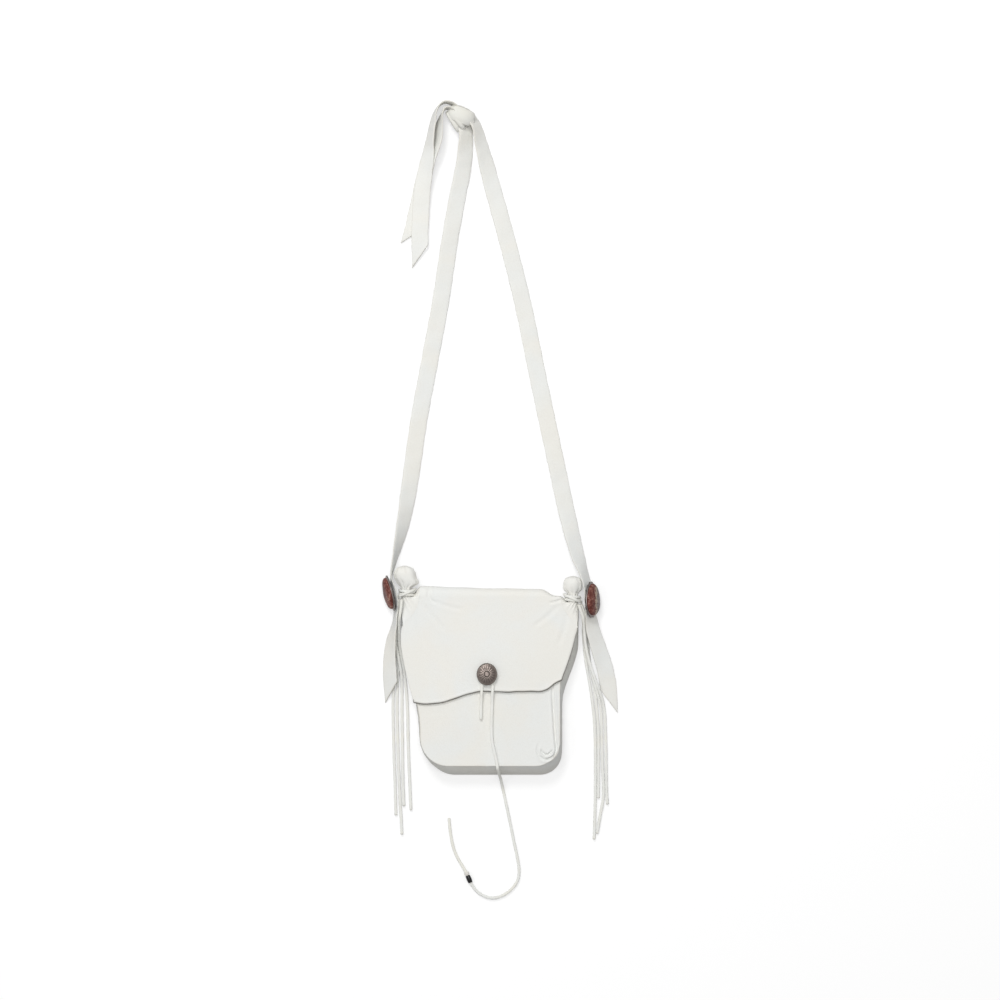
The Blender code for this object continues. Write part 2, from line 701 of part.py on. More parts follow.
ribbon(
    "strap_right",
    by_knot(
        [
            (15.6, -6.4, None, -70),
            (25, -40, None, -50),
        ]
    )
    + along_drop(
        [
            (0.6, 0.8681, -30),
            (20.4, 0.7431, -30),
            (38.4, 0.6181, -20),
            (58.2, 0.4514, -8),
            (78.6, 0.2847, -10),
        ]
    )
    + beside(
        1,
        [
            (-12.3, 192, None, -24),
            (-0.3, 144, None, -46),
            (6.5, 126, None, -58),
            (10.9, 110, 12.4, -60),
        ]
    )
    + [(right_pass.x, right_pass.y, right_pass.z - 1 * MM, -60)]
    + beside(
        1,
        [
            (13.3, 84, 12.2, -56),
            (14.9, 70, 9.4, -42),
            (20.5, 48, 7.6, -34),
            (27.9, 26, 5.2, -26),
            (36.1, 0, None, -20),
            (40.1, -20, None, -14),
        ]
    ),
    (-6 * MM, 14 * MM),
)


def knot_rings():
    """The knot: a rounded lump with the strap's wraps standing out as broad slanting ridges."""
    rings = []
    for i in range(1, 12):
        polar = math.pi * i / 12
        ring = []
        for k in range(28):
            a = 2 * math.pi * k / 28
            wrap = 1 + 0.07 * math.cos(3 * a + 2.2 * math.cos(polar)) * math.sin(polar)
            reach = KNOT_RADIUS * math.sin(polar) ** 0.85 * wrap
            ring.append(
                (
                    KNOT_CENTRE[0] + reach * math.cos(a),
                    KNOT_CENTRE[1] + reach * math.sin(a),
                    KNOT_HEIGHT / 2 * (1 - math.cos(polar)) + CLEARANCE,
                )
            )
        rings.append(ring)
    return rings


loft("strap_knot", knot_rings(), STRAP_HIDE)

# The straps' own ends leave the knot together, turn over its shoulder and hang back down beside it
ribbon(
    "knot_tail_long",
    by_knot(
        [
            (-13.9, 4.8, None, 96),
            (-19.6, 13, None, 92),
            (-24.2, 8, None, 84),
            (-26.4, -4, None, 76),
            (-27.4, -16, None, 68),
            (-30, -34, None, 52),
            (-36, -52, None, 30),
            (-41.6, -70, None, 12),
            (-46.4, -100, None, 2),
            (-49.4, -124, None, 0),
            (-51.8, -160, None, 0),
        ]
    ),
    (20 * MM, -8 * MM),
)
ribbon(
    "knot_tail_short",
    by_knot(
        [
            (-11, 11, None, 96),
            (-18.6, 18.6, None, 92),
            (-26.6, 16.4, None, 84),
            (-32.6, 1, None, 78),
            (-35.6, -16, None, 72),
            (-40, -34, None, 62),
            (-45.6, -52, None, 50),
            (-49.4, -70, 8.2, 40),
            (-54.4, -100, 7.6, 30),
            (-58.8, -124, 6.8, 26),
            (-61.6, -142, 6.4, 24),
        ]
    ),
    (8 * MM, -6 * MM),
)

# Silver button, tie lace and beads
button_x, button_y = BUTTON_CENTRE
button_base = float(flap_top(button_x, button_y))


def turned(name, profile, surface):
    """A round piece turned about its own Z axis from (radius, height) pairs, bottom to top."""
    rings = []
    for radius, height in profile:
        rings.append(
            [(radius * math.cos(a), radius * math.sin(a), height) for a in np.linspace(0, 2 * math.pi, 33)[:-1]]
        )
    return loft(name, rings, surface)


dome = [
    (BUTTON_RADIUS * math.cos(a), BUTTON_STANDOFF + 1.0 * MM + BUTTON_DOME * math.sin(a))
    for a in np.linspace(0, math.pi / 2 * 0.94, 8)
]
button = turned(
    "silver_button",
    [
        (BUTTON_POST_RADIUS, 0),
        (BUTTON_POST_RADIUS, BUTTON_STANDOFF),
        (0.97 * BUTTON_RADIUS, BUTTON_STANDOFF),
    ]
    + dome,
    OLD_SILVER,
)
slope = (DEPTH_AT_FOOT - DEPTH_AT_MOUTH) / (MOUTH_Y - FRONT_FOOT_Y)
button.location = (button_x, button_y, button_base + 1.5 * CLEARANCE)
button.rotation_euler = (-math.atan(slope), 0, 0)


def over(surface_top, x, y):
    """A lace's middle where it lies on a surface."""
    return (x * MM, y * MM, float(surface_top(x * MM, y * MM)) + 1.3 * CLEARANCE + LACE_RADIUS)


def on_floor(x, y, lift=0.0):
    return (x * MM, y * MM, ON_FLOOR + lift)


def round_post(degrees):
    """A point of the lace where it goes round the button's post."""
    a = math.radians(degrees)
    reach = BUTTON_POST_RADIUS + LACE_RADIUS + 6 * CLEARANCE
    x, y = button_x + reach * math.cos(a), button_y + reach * math.sin(a)
    return (x, y, float(flap_top(x, y)) + 1.3 * CLEARANCE + LACE_RADIUS)


BEAD_LIFT = BEAD_RADIUS - LACE_RADIUS + CLEARANCE / 3
cord(
    "tie_lace_long",
    [round_post(a) for a in (115, 70, 25)]
    + [over(flap_top, 2.6, 0), over(flap_top, 3.2, -8), over(flap_top, 3.0, -14)]
    + [over(front_top, 2.7, -22), over(front_top, 2.2, -36), over(front_top, 1.8, -54)]
    + [over(front_top, 3.2, -74.4), over(front_top, 6, -86.4), over(front_top, 8.4, -98)]
    + [(9.0 * MM, -102.4 * MM, 32.2 * MM), (10.6 * MM, -109.5 * MM, 24 * MM), (12.8 * MM, -118 * MM, 10 * MM), on_floor(15.6, -131)]
    + [on_floor(x, y) for x, y in ((19.2, -147.6), (24, -170.4), (28.8, -194.4), (33, -214), (34.8, -227))]
    + [on_floor(x, y) for x, y in ((33.4, -239.4), (27.4, -249), (18, -256.8), (5, -261.4), (-7.6, -258.8))]
    + [on_floor(-18, -250.6, 0.6 * MM), on_floor(-23.4, -242.4, BEAD_LIFT), on_floor(-28.0, -231.6, BEAD_LIFT)]
    + [on_floor(-32, -224.6, 0.7 * MM), on_floor(-38.4, -214)]
    + [on_floor(x, y) for x, y in ((-43.6, -201.6), (-47, -186), (-49.2, -165.6))],
    LACE_HIDE,
    1.7,
)
cord(
    "tie_lace_short",
    [over(flap_top, -8.9, 3.0), over(flap_top, -9.6, -4), over(flap_top, -9.7, -10), over(flap_top, -9.9, -15.5)]
    + [over(front_top, -10.2, -24), over(front_top, -10.5, -34), over(front_top, -10.8, -45.6)],
    LACE_HIDE,
)


def bead(name, length, offset, surface):
    """A bead threaded on the tie lace, with a bore that the lace runs through."""
    start, end = Vector((-23.4, -242.4, 0)) * MM, Vector((-28.0, -231.6, 0)) * MM
    run = (end - start).normalized()
    bore = LACE_RADIUS + 1.6 * CLEARANCE
    profile = []
    for k in range(5):
        t = k / 4
        belly = 0.84 + 0.16 * math.sin(math.pi * t)
        profile.append((BEAD_RADIUS * belly, length * (t - 0.5)))
    rings = []
    for radius, height in profile + [(bore, length / 2), (bore, -length / 2)]:
        rings.append([(radius * math.cos(a), radius * math.sin(a), height) for a in np.linspace(0, 2 * math.pi, 25)[:-1]])
    shape = bmesh.new()
    loops = [[shape.verts.new(point) for point in ring] for ring in rings]
    for here, there in zip(loops, loops[1:] + loops[:1]):
        for i, corner in enumerate(here):
            j = (i + 1) % len(here)
            shape.faces.new((corner, here[j], there[j], there[i]))
    bmesh.ops.recalc_face_normals(shape, faces=shape.faces)
    mesh = bpy.data.meshes.new(name)
    shape.to_mesh(mesh)
    shape.free()
    made = finish(name, mesh, surface)
    middle = start + run * offset
    made.location = (middle.x, middle.y, BEAD_RADIUS + CLEARANCE / 3)
    made.rotation_euler = run.to_track_quat("Z", "Y").to_euler()


bead("bead_black", BLACK_BEAD_LENGTH, 4.4 * MM, BLACK_BEAD)
bead("bead_white", WHITE_BEAD_LENGTH, 4.4 * MM + (BLACK_BEAD_LENGTH + WHITE_BEAD_LENGTH) / 2 + 2 * CLEARANCE, SILVER_BEAD)
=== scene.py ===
"""A white deerskin shoulder pouch lying on its back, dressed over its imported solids.

Metres, +Z up. +X runs across the pouch and +Y from the pouch to the knot of its straps.
"""

import math

import bpy
import numpy as np
from mathutils import Matrix, Vector


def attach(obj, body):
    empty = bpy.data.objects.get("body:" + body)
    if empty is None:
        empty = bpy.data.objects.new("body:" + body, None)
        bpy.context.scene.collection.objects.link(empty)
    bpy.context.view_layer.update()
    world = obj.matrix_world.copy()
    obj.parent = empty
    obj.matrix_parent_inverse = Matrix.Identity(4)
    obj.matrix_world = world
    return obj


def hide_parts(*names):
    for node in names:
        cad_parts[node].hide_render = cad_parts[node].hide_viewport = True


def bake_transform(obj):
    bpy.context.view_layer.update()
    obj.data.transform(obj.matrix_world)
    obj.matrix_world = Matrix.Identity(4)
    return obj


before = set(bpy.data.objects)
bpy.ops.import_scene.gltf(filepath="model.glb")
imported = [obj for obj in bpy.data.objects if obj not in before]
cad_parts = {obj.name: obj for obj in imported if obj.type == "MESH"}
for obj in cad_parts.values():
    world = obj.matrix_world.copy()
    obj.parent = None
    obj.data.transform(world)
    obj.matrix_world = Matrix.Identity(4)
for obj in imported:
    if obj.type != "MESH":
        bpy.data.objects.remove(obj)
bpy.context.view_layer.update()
MM = 0.001


# The camera hangs straight over the pouch, far off, so that its picture is a true plan.
# The frame takes in 1.2 m of the floor.
def in_scene(name, data):
    """A new object of the scene that shows the data."""
    made = bpy.data.objects.new(name, data)
    bpy.context.scene.collection.objects.link(made)
    return made


lens = bpy.data.cameras.new("camera")
lens.sensor_width = 36.0
lens.lens = 120.0
lens.clip_end = 60.0
eye = in_scene("camera", lens)
eye.location = (0.012, 0.216, 4.0)
bpy.context.scene.camera = eye
bpy.context.scene.view_settings.view_transform = "Standard"


# The pouch lies on a plain white floor, which looks white to the camera where no shadow falls and pale to
# the pouch. Soft light comes from the upper left and from overhead, and a small lamp on the left gives the
# metal its glint.
class Field:
    """A value that varies over a surface. Arithmetic on fields and numbers adds Math nodes."""

    def __init__(self, nodes, socket):
        self.nodes = nodes
        self.socket = socket

    def worked(self, operation, first, second):
        return self.nodes.node("ShaderNodeMath", {"operation": operation}, {0: first, 1: second})

    def __add__(self, other):
        return self.worked("ADD", self, other)

    __radd__ = __add__

    def __sub__(self, other):
        return self.worked("SUBTRACT", self, other)

    def __rsub__(self, other):
        return self.worked("SUBTRACT", other, self)

    def __mul__(self, other):
        return self.worked("MULTIPLY", self, other)

    __rmul__ = __mul__

    def __abs__(self):
        return self.worked("ABSOLUTE", self, 0.0)

    def at_least(self, other):
        return self.worked("MAXIMUM", self, other)

    def between(self, low, high):
        """0 below low, 1 above high, and an even slope between them."""
        sockets = {0: self, 1: low, 2: high, 3: 0.0, 4: 1.0}
        return self.nodes.node("ShaderNodeMapRange", {"clamp": True}, sockets)


class Nodes:
    """The shader nodes of a material or a world, put together one by one."""

    def __init__(self, owner):
        owner.use_nodes = True
        self.owner = owner
        self.tree = owner.node_tree
        self.tree.nodes.clear()

    def node(self, kind, settings=None, sockets=None, output=0):
        """One node: its settings first, then the values or links of its sockets."""
        made = self.tree.nodes.new(kind)
        for name, value in (settings or {}).items():
            setattr(made, name, value)
        for key, value in (sockets or {}).items():
            if isinstance(value, Field):
                self.tree.links.new(value.socket, made.inputs[key])
            else:
                made.inputs[key].default_value = value
        return Field(self, made.outputs[output])

    def closed(self, surface, kind="ShaderNodeOutputMaterial"):
        """Links the surface to the output node. Gives back the material or the world."""
        end = self.tree.nodes.new(kind)
        self.tree.links.new(surface.socket, end.inputs["Surface"])
        return self.owner


class Finish(Nodes):
    """A material, with the groups of nodes that the pouch's materials share."""

    def __init__(self, name, plain_colour):
        super().__init__(bpy.data.materials.new(name))
        self.owner.diffuse_color = (*plain_colour, 1.0)

    def own_place(self):
        """Where a point lies on its own object."""
        return self.node("ShaderNodeTexCoord", output=3)

    def mark(self, name):
        """A value that is stored at each point of the mesh."""
        settings = {"attribute_name": name, "attribute_type": "GEOMETRY"}
        return self.node("ShaderNodeAttribute", settings, output=2)

    def mixed(self, share, first, second):
        return self.node("ShaderNodeMix", {"data_type": "RGBA"}, {0: share, 6: first, 7: second}, 2)

    def noise(self, place, scale, detail=3.0, roughness=0.5, distortion=0.0, output=0):
        sockets = {"Vector": place, "Scale": scale, "Detail": detail, "Roughness": roughness}
        return self.node("ShaderNodeTexNoise", {}, {**sockets, "Distortion": distortion}, output)

    def coated(self, strength, distance, height, sockets):
        """The finished material: a principled surface, with a height in metres as its fine relief."""
        bump = self.node("ShaderNodeBump", {}, {"Strength": strength, "Distance": distance, "Height": height})
        return self.closed(self.node("ShaderNodeBsdfPrincipled", {}, {**sockets, "Normal": bump}))


def rgb(red, green, blue):
    return (red, green, blue, 1.0)


floor_finish = Finish("white_floor", (0.9, 0.9, 0.9))
CAMERA_RAY, GLOSSY_RAY = 0, 3
seen = floor_finish.node("ShaderNodeLightPath", output=CAMERA_RAY)
mirrored = floor_finish.node("ShaderNodeLightPath", output=GLOSSY_RAY)
glow_strength = seen.at_least(mirrored) * 0.47
glow = floor_finish.node("ShaderNodeEmission", {}, {"Color": rgb(1, 1, 1), "Strength": glow_strength})
matte = floor_finish.node("ShaderNodeBsdfDiffuse", {}, {"Color": rgb(0.56, 0.56, 0.56)})
floor_half, floor_drop = 6.0, 0.3 * MM
floor_corners = [(x, y, -floor_drop) for x in (-floor_half, floor_half) for y in (-floor_half, floor_half)]
floor_look = floor_finish.node("ShaderNodeAddShader", {}, {0: glow, 1: matte})
floor_mesh = bpy.data.meshes.new("floor")
floor_mesh.from_pydata(floor_corners, [], [(0, 2, 3, 1)])
floor_mesh.materials.append(floor_finish.closed(floor_look))
floor = in_scene("floor", floor_mesh)

sky = Nodes(bpy.data.worlds.new("sky"))
brightness = sky.node("ShaderNodeLightPath", output=CAMERA_RAY) * 0.5 + 0.5
backdrop = sky.node("ShaderNodeBackground", {}, {"Strength": brightness})
bpy.context.scene.world = sky.closed(backdrop, "ShaderNodeOutputWorld")


def soft_lamp(name, place, target, size, power):
    """A square lamp whose light falls along the line from its place to its target."""
    light = bpy.data.lights.new(name, "AREA")
    light.shape = "SQUARE"
    light.size = size
    light.energy = power
    lamp = in_scene(name, light)
    lamp.location = place
    lamp.rotation_euler = (Vector(target) - Vector(place)).to_track_quat("-Z", "Y").to_euler()


soft_lamp("window", (-0.8, 2.5, 2.9), (0, 0.2, 0), size=0.9, power=50)
soft_lamp("overhead", (0.0, 0.6, 3.4), (0, 0.3, 0), size=1.6, power=41)
soft_lamp("glint", (-2.0, 0.4, 2.8), (0, 0, 0), size=0.42, power=8.5)


# The back panel is one piece of deerskin, white-tanned, 1.6 mm thick, with its grain side out.
# It lies flat on the floor, and the same hide runs on round the mouth as the fold and the flap.
def deerskin(name, follows_cut=False, warmth=0.0, tone=1.0, edge_tone_and_shade=(0.63, 0.59, 0.51), edge_tone_and_shade_share=0.45):
    """White deerskin: a pebbled grain with a fine nap, soft creases, faint warm and cool clouds, and cut
    edges darker than the face, partly the raw edge's own tone and partly painted shade along the edge.
    The height is the grain plus the nap plus the creases."""
    skin = Finish(name, (0.8, 0.79, 0.76))
    place = skin.node("ShaderNodeUVMap", {"uv_map": "cut"}) if follows_cut else skin.own_place()
    clouds = skin.noise(place, 14.0, 2.0, 0.5, 0.6)
    mottle = skin.noise(place, 85.0, 4.0, 0.6)
    wander = skin.noise(place, 210.0, 2.0)
    drift = skin.noise(place, 260.0, 1.0, output=1)
    shift = skin.node("ShaderNodeVectorMath", {"operation": "SCALE"}, {0: drift, "Scale": 0.0011})
    warped = skin.node("ShaderNodeVectorMath", {"operation": "ADD"}, {0: place, 1: shift})
    cells = {"Vector": warped, "Scale": 760.0, "Smoothness": 0.55}
    pebbles = skin.node("ShaderNodeTexVoronoi", {"feature": "SMOOTH_F1"}, cells)
    nap = skin.noise(place, 2300.0, 3.0, 0.65)
    creases = skin.noise(place, 62.0, 4.0, 0.55, 1.4)
    fold_lines = abs(creases - 0.5)
    cream = rgb(0.80 * tone, 0.79 * tone, (0.745 - 0.03 * warmth) * tone)
    cool = rgb(0.785 * tone, 0.795 * tone, 0.775 * tone)
    blush = rgb(0.80 * tone, 0.765 * tone, 0.72 * tone)
    raw = rgb(0.63 * tone, 0.59 * tone, 0.51 * tone)
    raised = (1 - pebbles * 1.6).between(-0.25, 0.35)
    near_cut = (skin.mark("edge") * (0.6 + 0.8 * mottle)).between(0.0, 1.0)
    colour = skin.mixed(clouds.between(0.38, 0.62), cream, cool)
    colour = skin.mixed(mottle.between(0.52, 0.78) * (0.34 + 0.3 * warmth), colour, blush)
    colour = skin.mixed(0.10 - 0.10 * raised, colour, raw)
    # Painted shade: near the cut edges the colour is mixed towards the edge colour, partly raw edge tone and
    # partly shade.
    colour = skin.mixed(near_cut * edge_tone_and_shade_share, colour, rgb(*edge_tone_and_shade))
    height = (1 - pebbles) * 0.5 + nap * 0.22 + fold_lines * 2.2 + wander * 0.35
    return skin.coated(0.5, 0.34 * MM, height, {
        "Base Color": colour,
        "Roughness": 0.74 + 0.18 * mottle,
        "Specular IOR Level": 0.28,
        "Sheen Weight": 0.12,
        "Sheen Roughness": 0.6,
    })


def walked_along(points, axis=0):
    """How far each point is from its line's first one, or from a net's first row or column."""
    steps = np.linalg.norm(np.diff(points, axis=axis), axis=-1)
    return np.cumsum(np.insert(steps, 0, 0.0, axis=axis), axis=axis)


def smooth_line(points, step=None, count=None):
    """Even steps along a Hermite curve through the points. The slope at a point is the mean of those on its
    two sides, each weighted by the other's length. Columns past the third ride along as plain values."""
    points = np.array(points, float)
    spans = np.linalg.norm(np.diff(points[:, :3], axis=0), axis=1)[:, None]
    slopes = np.diff(points, axis=0) / spans
    inner = (slopes[:-1] * spans[1:] + slopes[1:] * spans[:-1]) / (spans[:-1] + spans[1:])
    slopes = np.vstack((slopes[:1], inner, slopes[-1:]))
    t = np.linspace(0, 1, 24, endpoint=False)[None, :, None]
    reach = spans[:, None]
    dense = (
        (2 * t**3 - 3 * t**2 + 1) * points[:-1, None]
        + (t**3 - 2 * t**2 + t) * reach * slopes[:-1, None]
        + (3 * t**2 - 2 * t**3) * points[1:, None]
        + (t**3 - t**2) * reach * slopes[1:, None]
    )
    dense = np.vstack((dense.reshape(-1, points.shape[1]), points[-1:]))
    walked = walked_along(dense[:, :3])
    marks = np.linspace(0, walked[-1], count or max(3, round(walked[-1] / step) + 1))
    return np.column_stack([np.interp(marks, walked, column) for column in dense.T])


def flat_line(points, count):
    """The same on the floor's plane, from (x, y) pairs in metres."""
    return smooth_line([(x, y, 0.0) for x, y in points], count=count)[:, :2]


def patch(bottom, top, left, right):
    """A net between four edges: the mean of the two straight blends, less the blend of the corners."""
    u = np.linspace(0, 1, len(bottom))[None, :, None]
    v = np.linspace(0, 1, len(left))[:, None, None]
    between = (1 - v) * bottom[None] + v * top[None] + (1 - u) * left[:, None] + u * right[:, None]
    return between - (
        (1 - u) * (1 - v) * bottom[0] + u * (1 - v) * bottom[-1] + (1 - u) * v * top[0] + u * v * top[-1]
    )


def mark_points(mesh, name, values):
    """Stores a value at each point, such as how near the cut edge it is."""
    if name not in mesh.attributes:
        mesh.attributes.new(name, "FLOAT", "POINT")
    mesh.attributes[name].data.foreach_set("value", np.asarray(values, np.float32).ravel())


def piece(name, points, faces, cut, edge, material, body):
    """One object of the pouch: its mesh, where each face's corners lie in the flat cut, and its edge mark."""
    mesh = bpy.data.meshes.new(name)
    mesh.from_pydata(points.tolist(), [], faces)
    layer = mesh.uv_layers.new(name="cut")
    layer.uv.foreach_set("vector", np.asarray(cut, np.float32).ravel())
    mark_points(mesh, "edge", edge)
    mesh.materials.append(material)
    mesh.shade_smooth()
    made = in_scene(name, mesh)
    if body:
        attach(made, body)
    return made


HIDE = 1.6 * MM
MOUTH_Y, FRONT_FOOT_Y, BACK_FOOT_Y, FOLD_Y = 90 * MM, -101 * MM, -113.5 * MM, 100 * MM
FOLD_HALF, FLAP_HALF = 84 * MM, 106.5 * MM


def hide(name, net, material, body, flip=False, thickness=HIDE, rounding=0.45 * MM, seam=None):
    """A piece of hide from its outer face, a net of rows by columns. The edge mark fades from 1 at the cut
    edge by a factor e every 0.9 mm. The thickness goes inwards. The cut edge is rounded, but not where the
    seam, a grid of yes and no, says that the piece runs on into another."""
    rows, columns = net.shape[:2]
    index = np.arange(rows * columns).reshape(rows, columns)
    corners = (index[:-1, :-1], index[:-1, 1:], index[1:, 1:], index[1:, :-1])
    faces = np.stack(corners[::-1] if flip else corners, -1).reshape(-1, 4)
    across, down = walked_along(net, 1), walked_along(net, 0)
    joined = np.zeros((rows, columns), bool) if seam is None else seam
    far_off = 1.0
    near = np.minimum.reduce([
        np.where(sewn, far_off, reach)
        for sewn, reach in (
            (joined[:, :1], across),
            (joined[:, -1:], across[:, -1:] - across),
            (joined[:1], down),
            (joined[-1:], down[-1:] - down),
        )
    ])
    middle = columns // 2
    flat = np.stack((across - across[:, middle : middle + 1], down), -1).reshape(-1, 2)
    edge = np.exp(-near / (0.9 * MM))
    made = piece(name, net.reshape(-1, 3), faces.tolist(), flat[faces.ravel()], edge, material, body)
    solid = made.modifiers.new("thickness", "SOLIDIFY")
    solid.thickness = thickness
    solid.offset = -1.0
    rim = np.ones((rows, columns), bool)
    rim[1:-1, 1:-1] = False
    mesh = made.data
    ends = np.zeros(2 * len(mesh.edges), np.int32)
    mesh.edges.foreach_get("vertices", ends)
    on_rim = rim.ravel()[ends.reshape(-1, 2)].all(1)
    on_seam = joined.ravel()[ends.reshape(-1, 2)].all(1)
    mesh.attributes.new("sharp_edge", "BOOLEAN", "EDGE").data.foreach_set("value", on_rim & on_seam)
    if rounding:
        weights = (on_rim & ~on_seam).astype(np.float32)
        mesh.attributes.new("bevel_weight_edge", "FLOAT", "EDGE").data.foreach_set("value", weights)
        bevel = made.modifiers.new("cut edge", "BEVEL")
        bevel.width = rounding
        bevel.segments = 2
        bevel.limit_method = "WEIGHT"
    return made


def slack(x, y):
    """Slow unevenness of soft hide: three long waves, together under half a millimetre."""
    return (
        0.20 * MM * np.sin(x / (31 * MM) + y / (57 * MM) + 0.6)
        + 0.16 * MM * np.sin(y / (23 * MM) - x / (49 * MM) + 2.0)
        + 0.10 * MM * np.sin(x / (13 * MM) + y / (17 * MM) + 1.1)
    )


def smooth_step(t):
    """An S from 0 to 1: three times the square less twice the cube."""
    return t * t * (3 - 2 * t)


def half_width(y, at_foot, at_mouth, low, high):
    """Half the pouch's width: even at the foot, then widening on a smooth S between two heights."""
    return at_foot + (at_mouth - at_foot) * smooth_step(np.clip((y - low) / (high - low), 0, 1))


def panel_outline(foot_y, left, right, steps):
    """A panel's edge: down the left side, round the foot on two quarter ellipses, and up the right side. A
    side is its half width at foot and mouth, the S's two heights, and the corner's two radii, in mm. The
    steps are counted along a side, a corner and the foot."""
    side_steps, corner_steps, foot_steps = steps
    turn = np.pi / 2 * np.arange(1, corner_steps + 1) / corner_steps
    halves = []
    for side in (left, right):
        *widths, corner_x, corner_y = np.array(side) * MM
        side_end = foot_y + corner_y
        side_y = np.linspace(MOUTH_Y, side_end, side_steps + 1)
        reach = half_width(side_end, *widths)
        straight = np.column_stack((half_width(side_y, *widths), side_y))
        corner = np.column_stack((reach - corner_x * (1 - np.cos(turn)), side_end - corner_y * np.sin(turn)))
        halves.append(np.vstack((straight, corner)))
    left_half, right_half = halves[0] * (-1, 1), halves[1]
    inner = np.linspace(left_half[-1, 0], right_half[-1, 0], foot_steps + 1)[1:-1]
    return np.vstack((left_half, np.column_stack((inner, np.full(len(inner), foot_y))), right_half[::-1]))


def panel_net(outline, top_edge, steps):
    """A panel's net. Its four edges meet in the middle of the rounded corners and at the mouth."""
    turn = steps[0] + steps[1] // 2
    left, right = outline[: turn + 1][::-1], outline[-turn - 1 :]
    bottom = outline[turn : len(outline) - turn]
    top = flat_line(top_edge, len(bottom))
    top[0], top[-1] = left[-1], right[-1]
    return patch(bottom, top, left, right)


white_hide = deerskin("white_deerskin")
back_left, back_right = (84, 106, -60, 58, 42, 56), (86, 106, -32, 46, 26, 26)
back_steps = (90, 32, 70)
back_outline = panel_outline(BACK_FOOT_Y, back_left, back_right, back_steps)
back_edge = [(-106, 90), (-95, 95.5), (-84, 99.5), (0, 99.9), (84, 99.5), (95, 95.5), (106, 90)]
back_net = panel_net(back_outline, np.array(back_edge) * MM, back_steps)
back_net = np.dstack((back_net, np.zeros(back_net.shape[:2])))
back_panel = hide("back_hide", back_net, white_hide, "pouch", flip=True)
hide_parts("back_panel")


# The front panel is a second piece of deerskin, rounded at the foot. It swells a little, and its right side
# carries a long crease beside the seam, which curls into a small pucker at the lower corner.
MOUTH_DEPTH, DEPTH_GAIN = 18 * MM, 12 * MM


def depth_at(y):
    """The pouch's depth, which grows evenly from mouth to foot."""
    return MOUTH_DEPTH + DEPTH_GAIN * (MOUTH_Y - y) / (MOUTH_Y - FRONT_FOOT_Y)


def front_top(x, y):
    """The front's outer face: the depth there, a low swell in the middle, and the slack."""
    middle = (MOUTH_Y + FRONT_FOOT_Y) / 2
    across = np.clip(1 - (x / (83 * MM)) ** 2, 0, 1) ** 2
    along = np.clip(1 - ((y - middle) / (MOUTH_Y - middle)) ** 2, 0, 1) ** 2
    return depth_at(y) + 2.2 * MM * across * along + slack(x, y)


def groove(net, line, width, depth, bank):
    """A crease along a line: a bell-shaped groove with a lower bell-shaped bank on each side. It fades in
    and out over the first and last fifth of its length."""
    steps = np.linspace(0, 1, len(line))
    gaps = np.linalg.norm(net[..., None, :2] - line[None, None, :, :2], axis=3)
    nearest = gaps.argmin(axis=2)
    off = gaps.min(axis=2) / width
    at = steps[nearest]
    fade = np.clip(at / 0.2, 0, 1) * np.clip((1 - at) / 0.2, 0, 1)
    return fade * (bank * np.exp(-((off - 1.9) ** 2)) - depth * np.exp(-(off**2)))


front_left, front_right = (83, 102.5, -60, 58, 34, 34), (83.5, 102.5, -12, 78, 30, 30)
front_steps = (140, 48, 150)
front_outline = panel_outline(FRONT_FOOT_Y, front_left, front_right, front_steps)
front_edge = [(-102.5 * MM, MOUTH_Y), (0, MOUTH_Y), (102.5 * MM, MOUTH_Y)]
front_flat = panel_net(front_outline, front_edge, front_steps)
front_net = np.dstack((front_flat, front_top(front_flat[..., 0], front_flat[..., 1])))
seam_crease = [(74.8, 4), (74.9, -15), (76, -36), (77, -55), (78.3, -72), (79, -82), (75.2, -89.8), (68, -93)]
seam_crease += [(60.6, -90.8), (56.8, -83.6), (58.8, -72)]
pucker = [(60.6, -80.6), (62.6, -85.6), (67.2, -87.8), (72, -86.2), (74.6, -81)]
for line, count, *sizes in ((seam_crease, 200, 1.5, 2.7, 0.9), (pucker, 60, 1.4, 2.8, 0.6)):
    front_net[..., 2] += groove(front_net, flat_line(np.array(line) * MM, count), *np.array(sizes) * MM)
front_panel = hide("front_hide", front_net, white_hide, "pouch", rounding=0.6 * MM)
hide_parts("front_panel")


# The gusset is a strip of the same deerskin, sewn between the two panels with its seams turned inside.
# It leans in from the larger back to the smaller front and puckers softly along the upper seam.
# Painted shade: the gusset takes a copy of the deerskin drawn 12% darker, for the shade on the pouch's sides
# and foot.
gusset_shaded_hide = deerskin("gusset_deerskin", warmth=0.2, tone=0.88)


def unit(vectors):
    """Each row made one long."""
    return vectors / np.linalg.norm(vectors, axis=1)[:, None]


def gusset_net():
    """The strip's outer face: a straight blend from the back's edge to the front's edge, pushed outwards by
    half a sine wave, with puckers that grow towards the upper seam and stand 14 mm apart."""
    count = 420
    low = flat_line(back_outline[::6], count)
    high = flat_line(front_outline[::6], count)
    along = unit(np.gradient((low + high) / 2, axis=0))
    outward = np.column_stack((along[:, 1], -along[:, 0]))
    t = np.linspace(0, 1, 26)[None, :]
    run = np.cumsum(np.linalg.norm(np.gradient(low, axis=0), axis=1))[:, None]
    gathers = np.sin(2 * np.pi * run / (14 * MM) + 1.3 * np.sin(run / (31 * MM)))
    push = 1.5 * MM * np.sin(np.pi * t) + 0.28 * MM * gathers * t**2 * (1 - t) * 4
    place = low[:, None] * (1 - t[..., None]) + high[:, None] * t[..., None]
    place = place + outward[:, None] * push[..., None]
    seam = HIDE + 0.15 * MM
    top = front_top(high[:, 0], high[:, 1])[:, None] - seam
    return np.dstack((place, seam + (top - seam) * t))


gusset = hide("gusset_strip", gusset_net(), gusset_shaded_hide, "pouch", flip=True)
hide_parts("gusset")
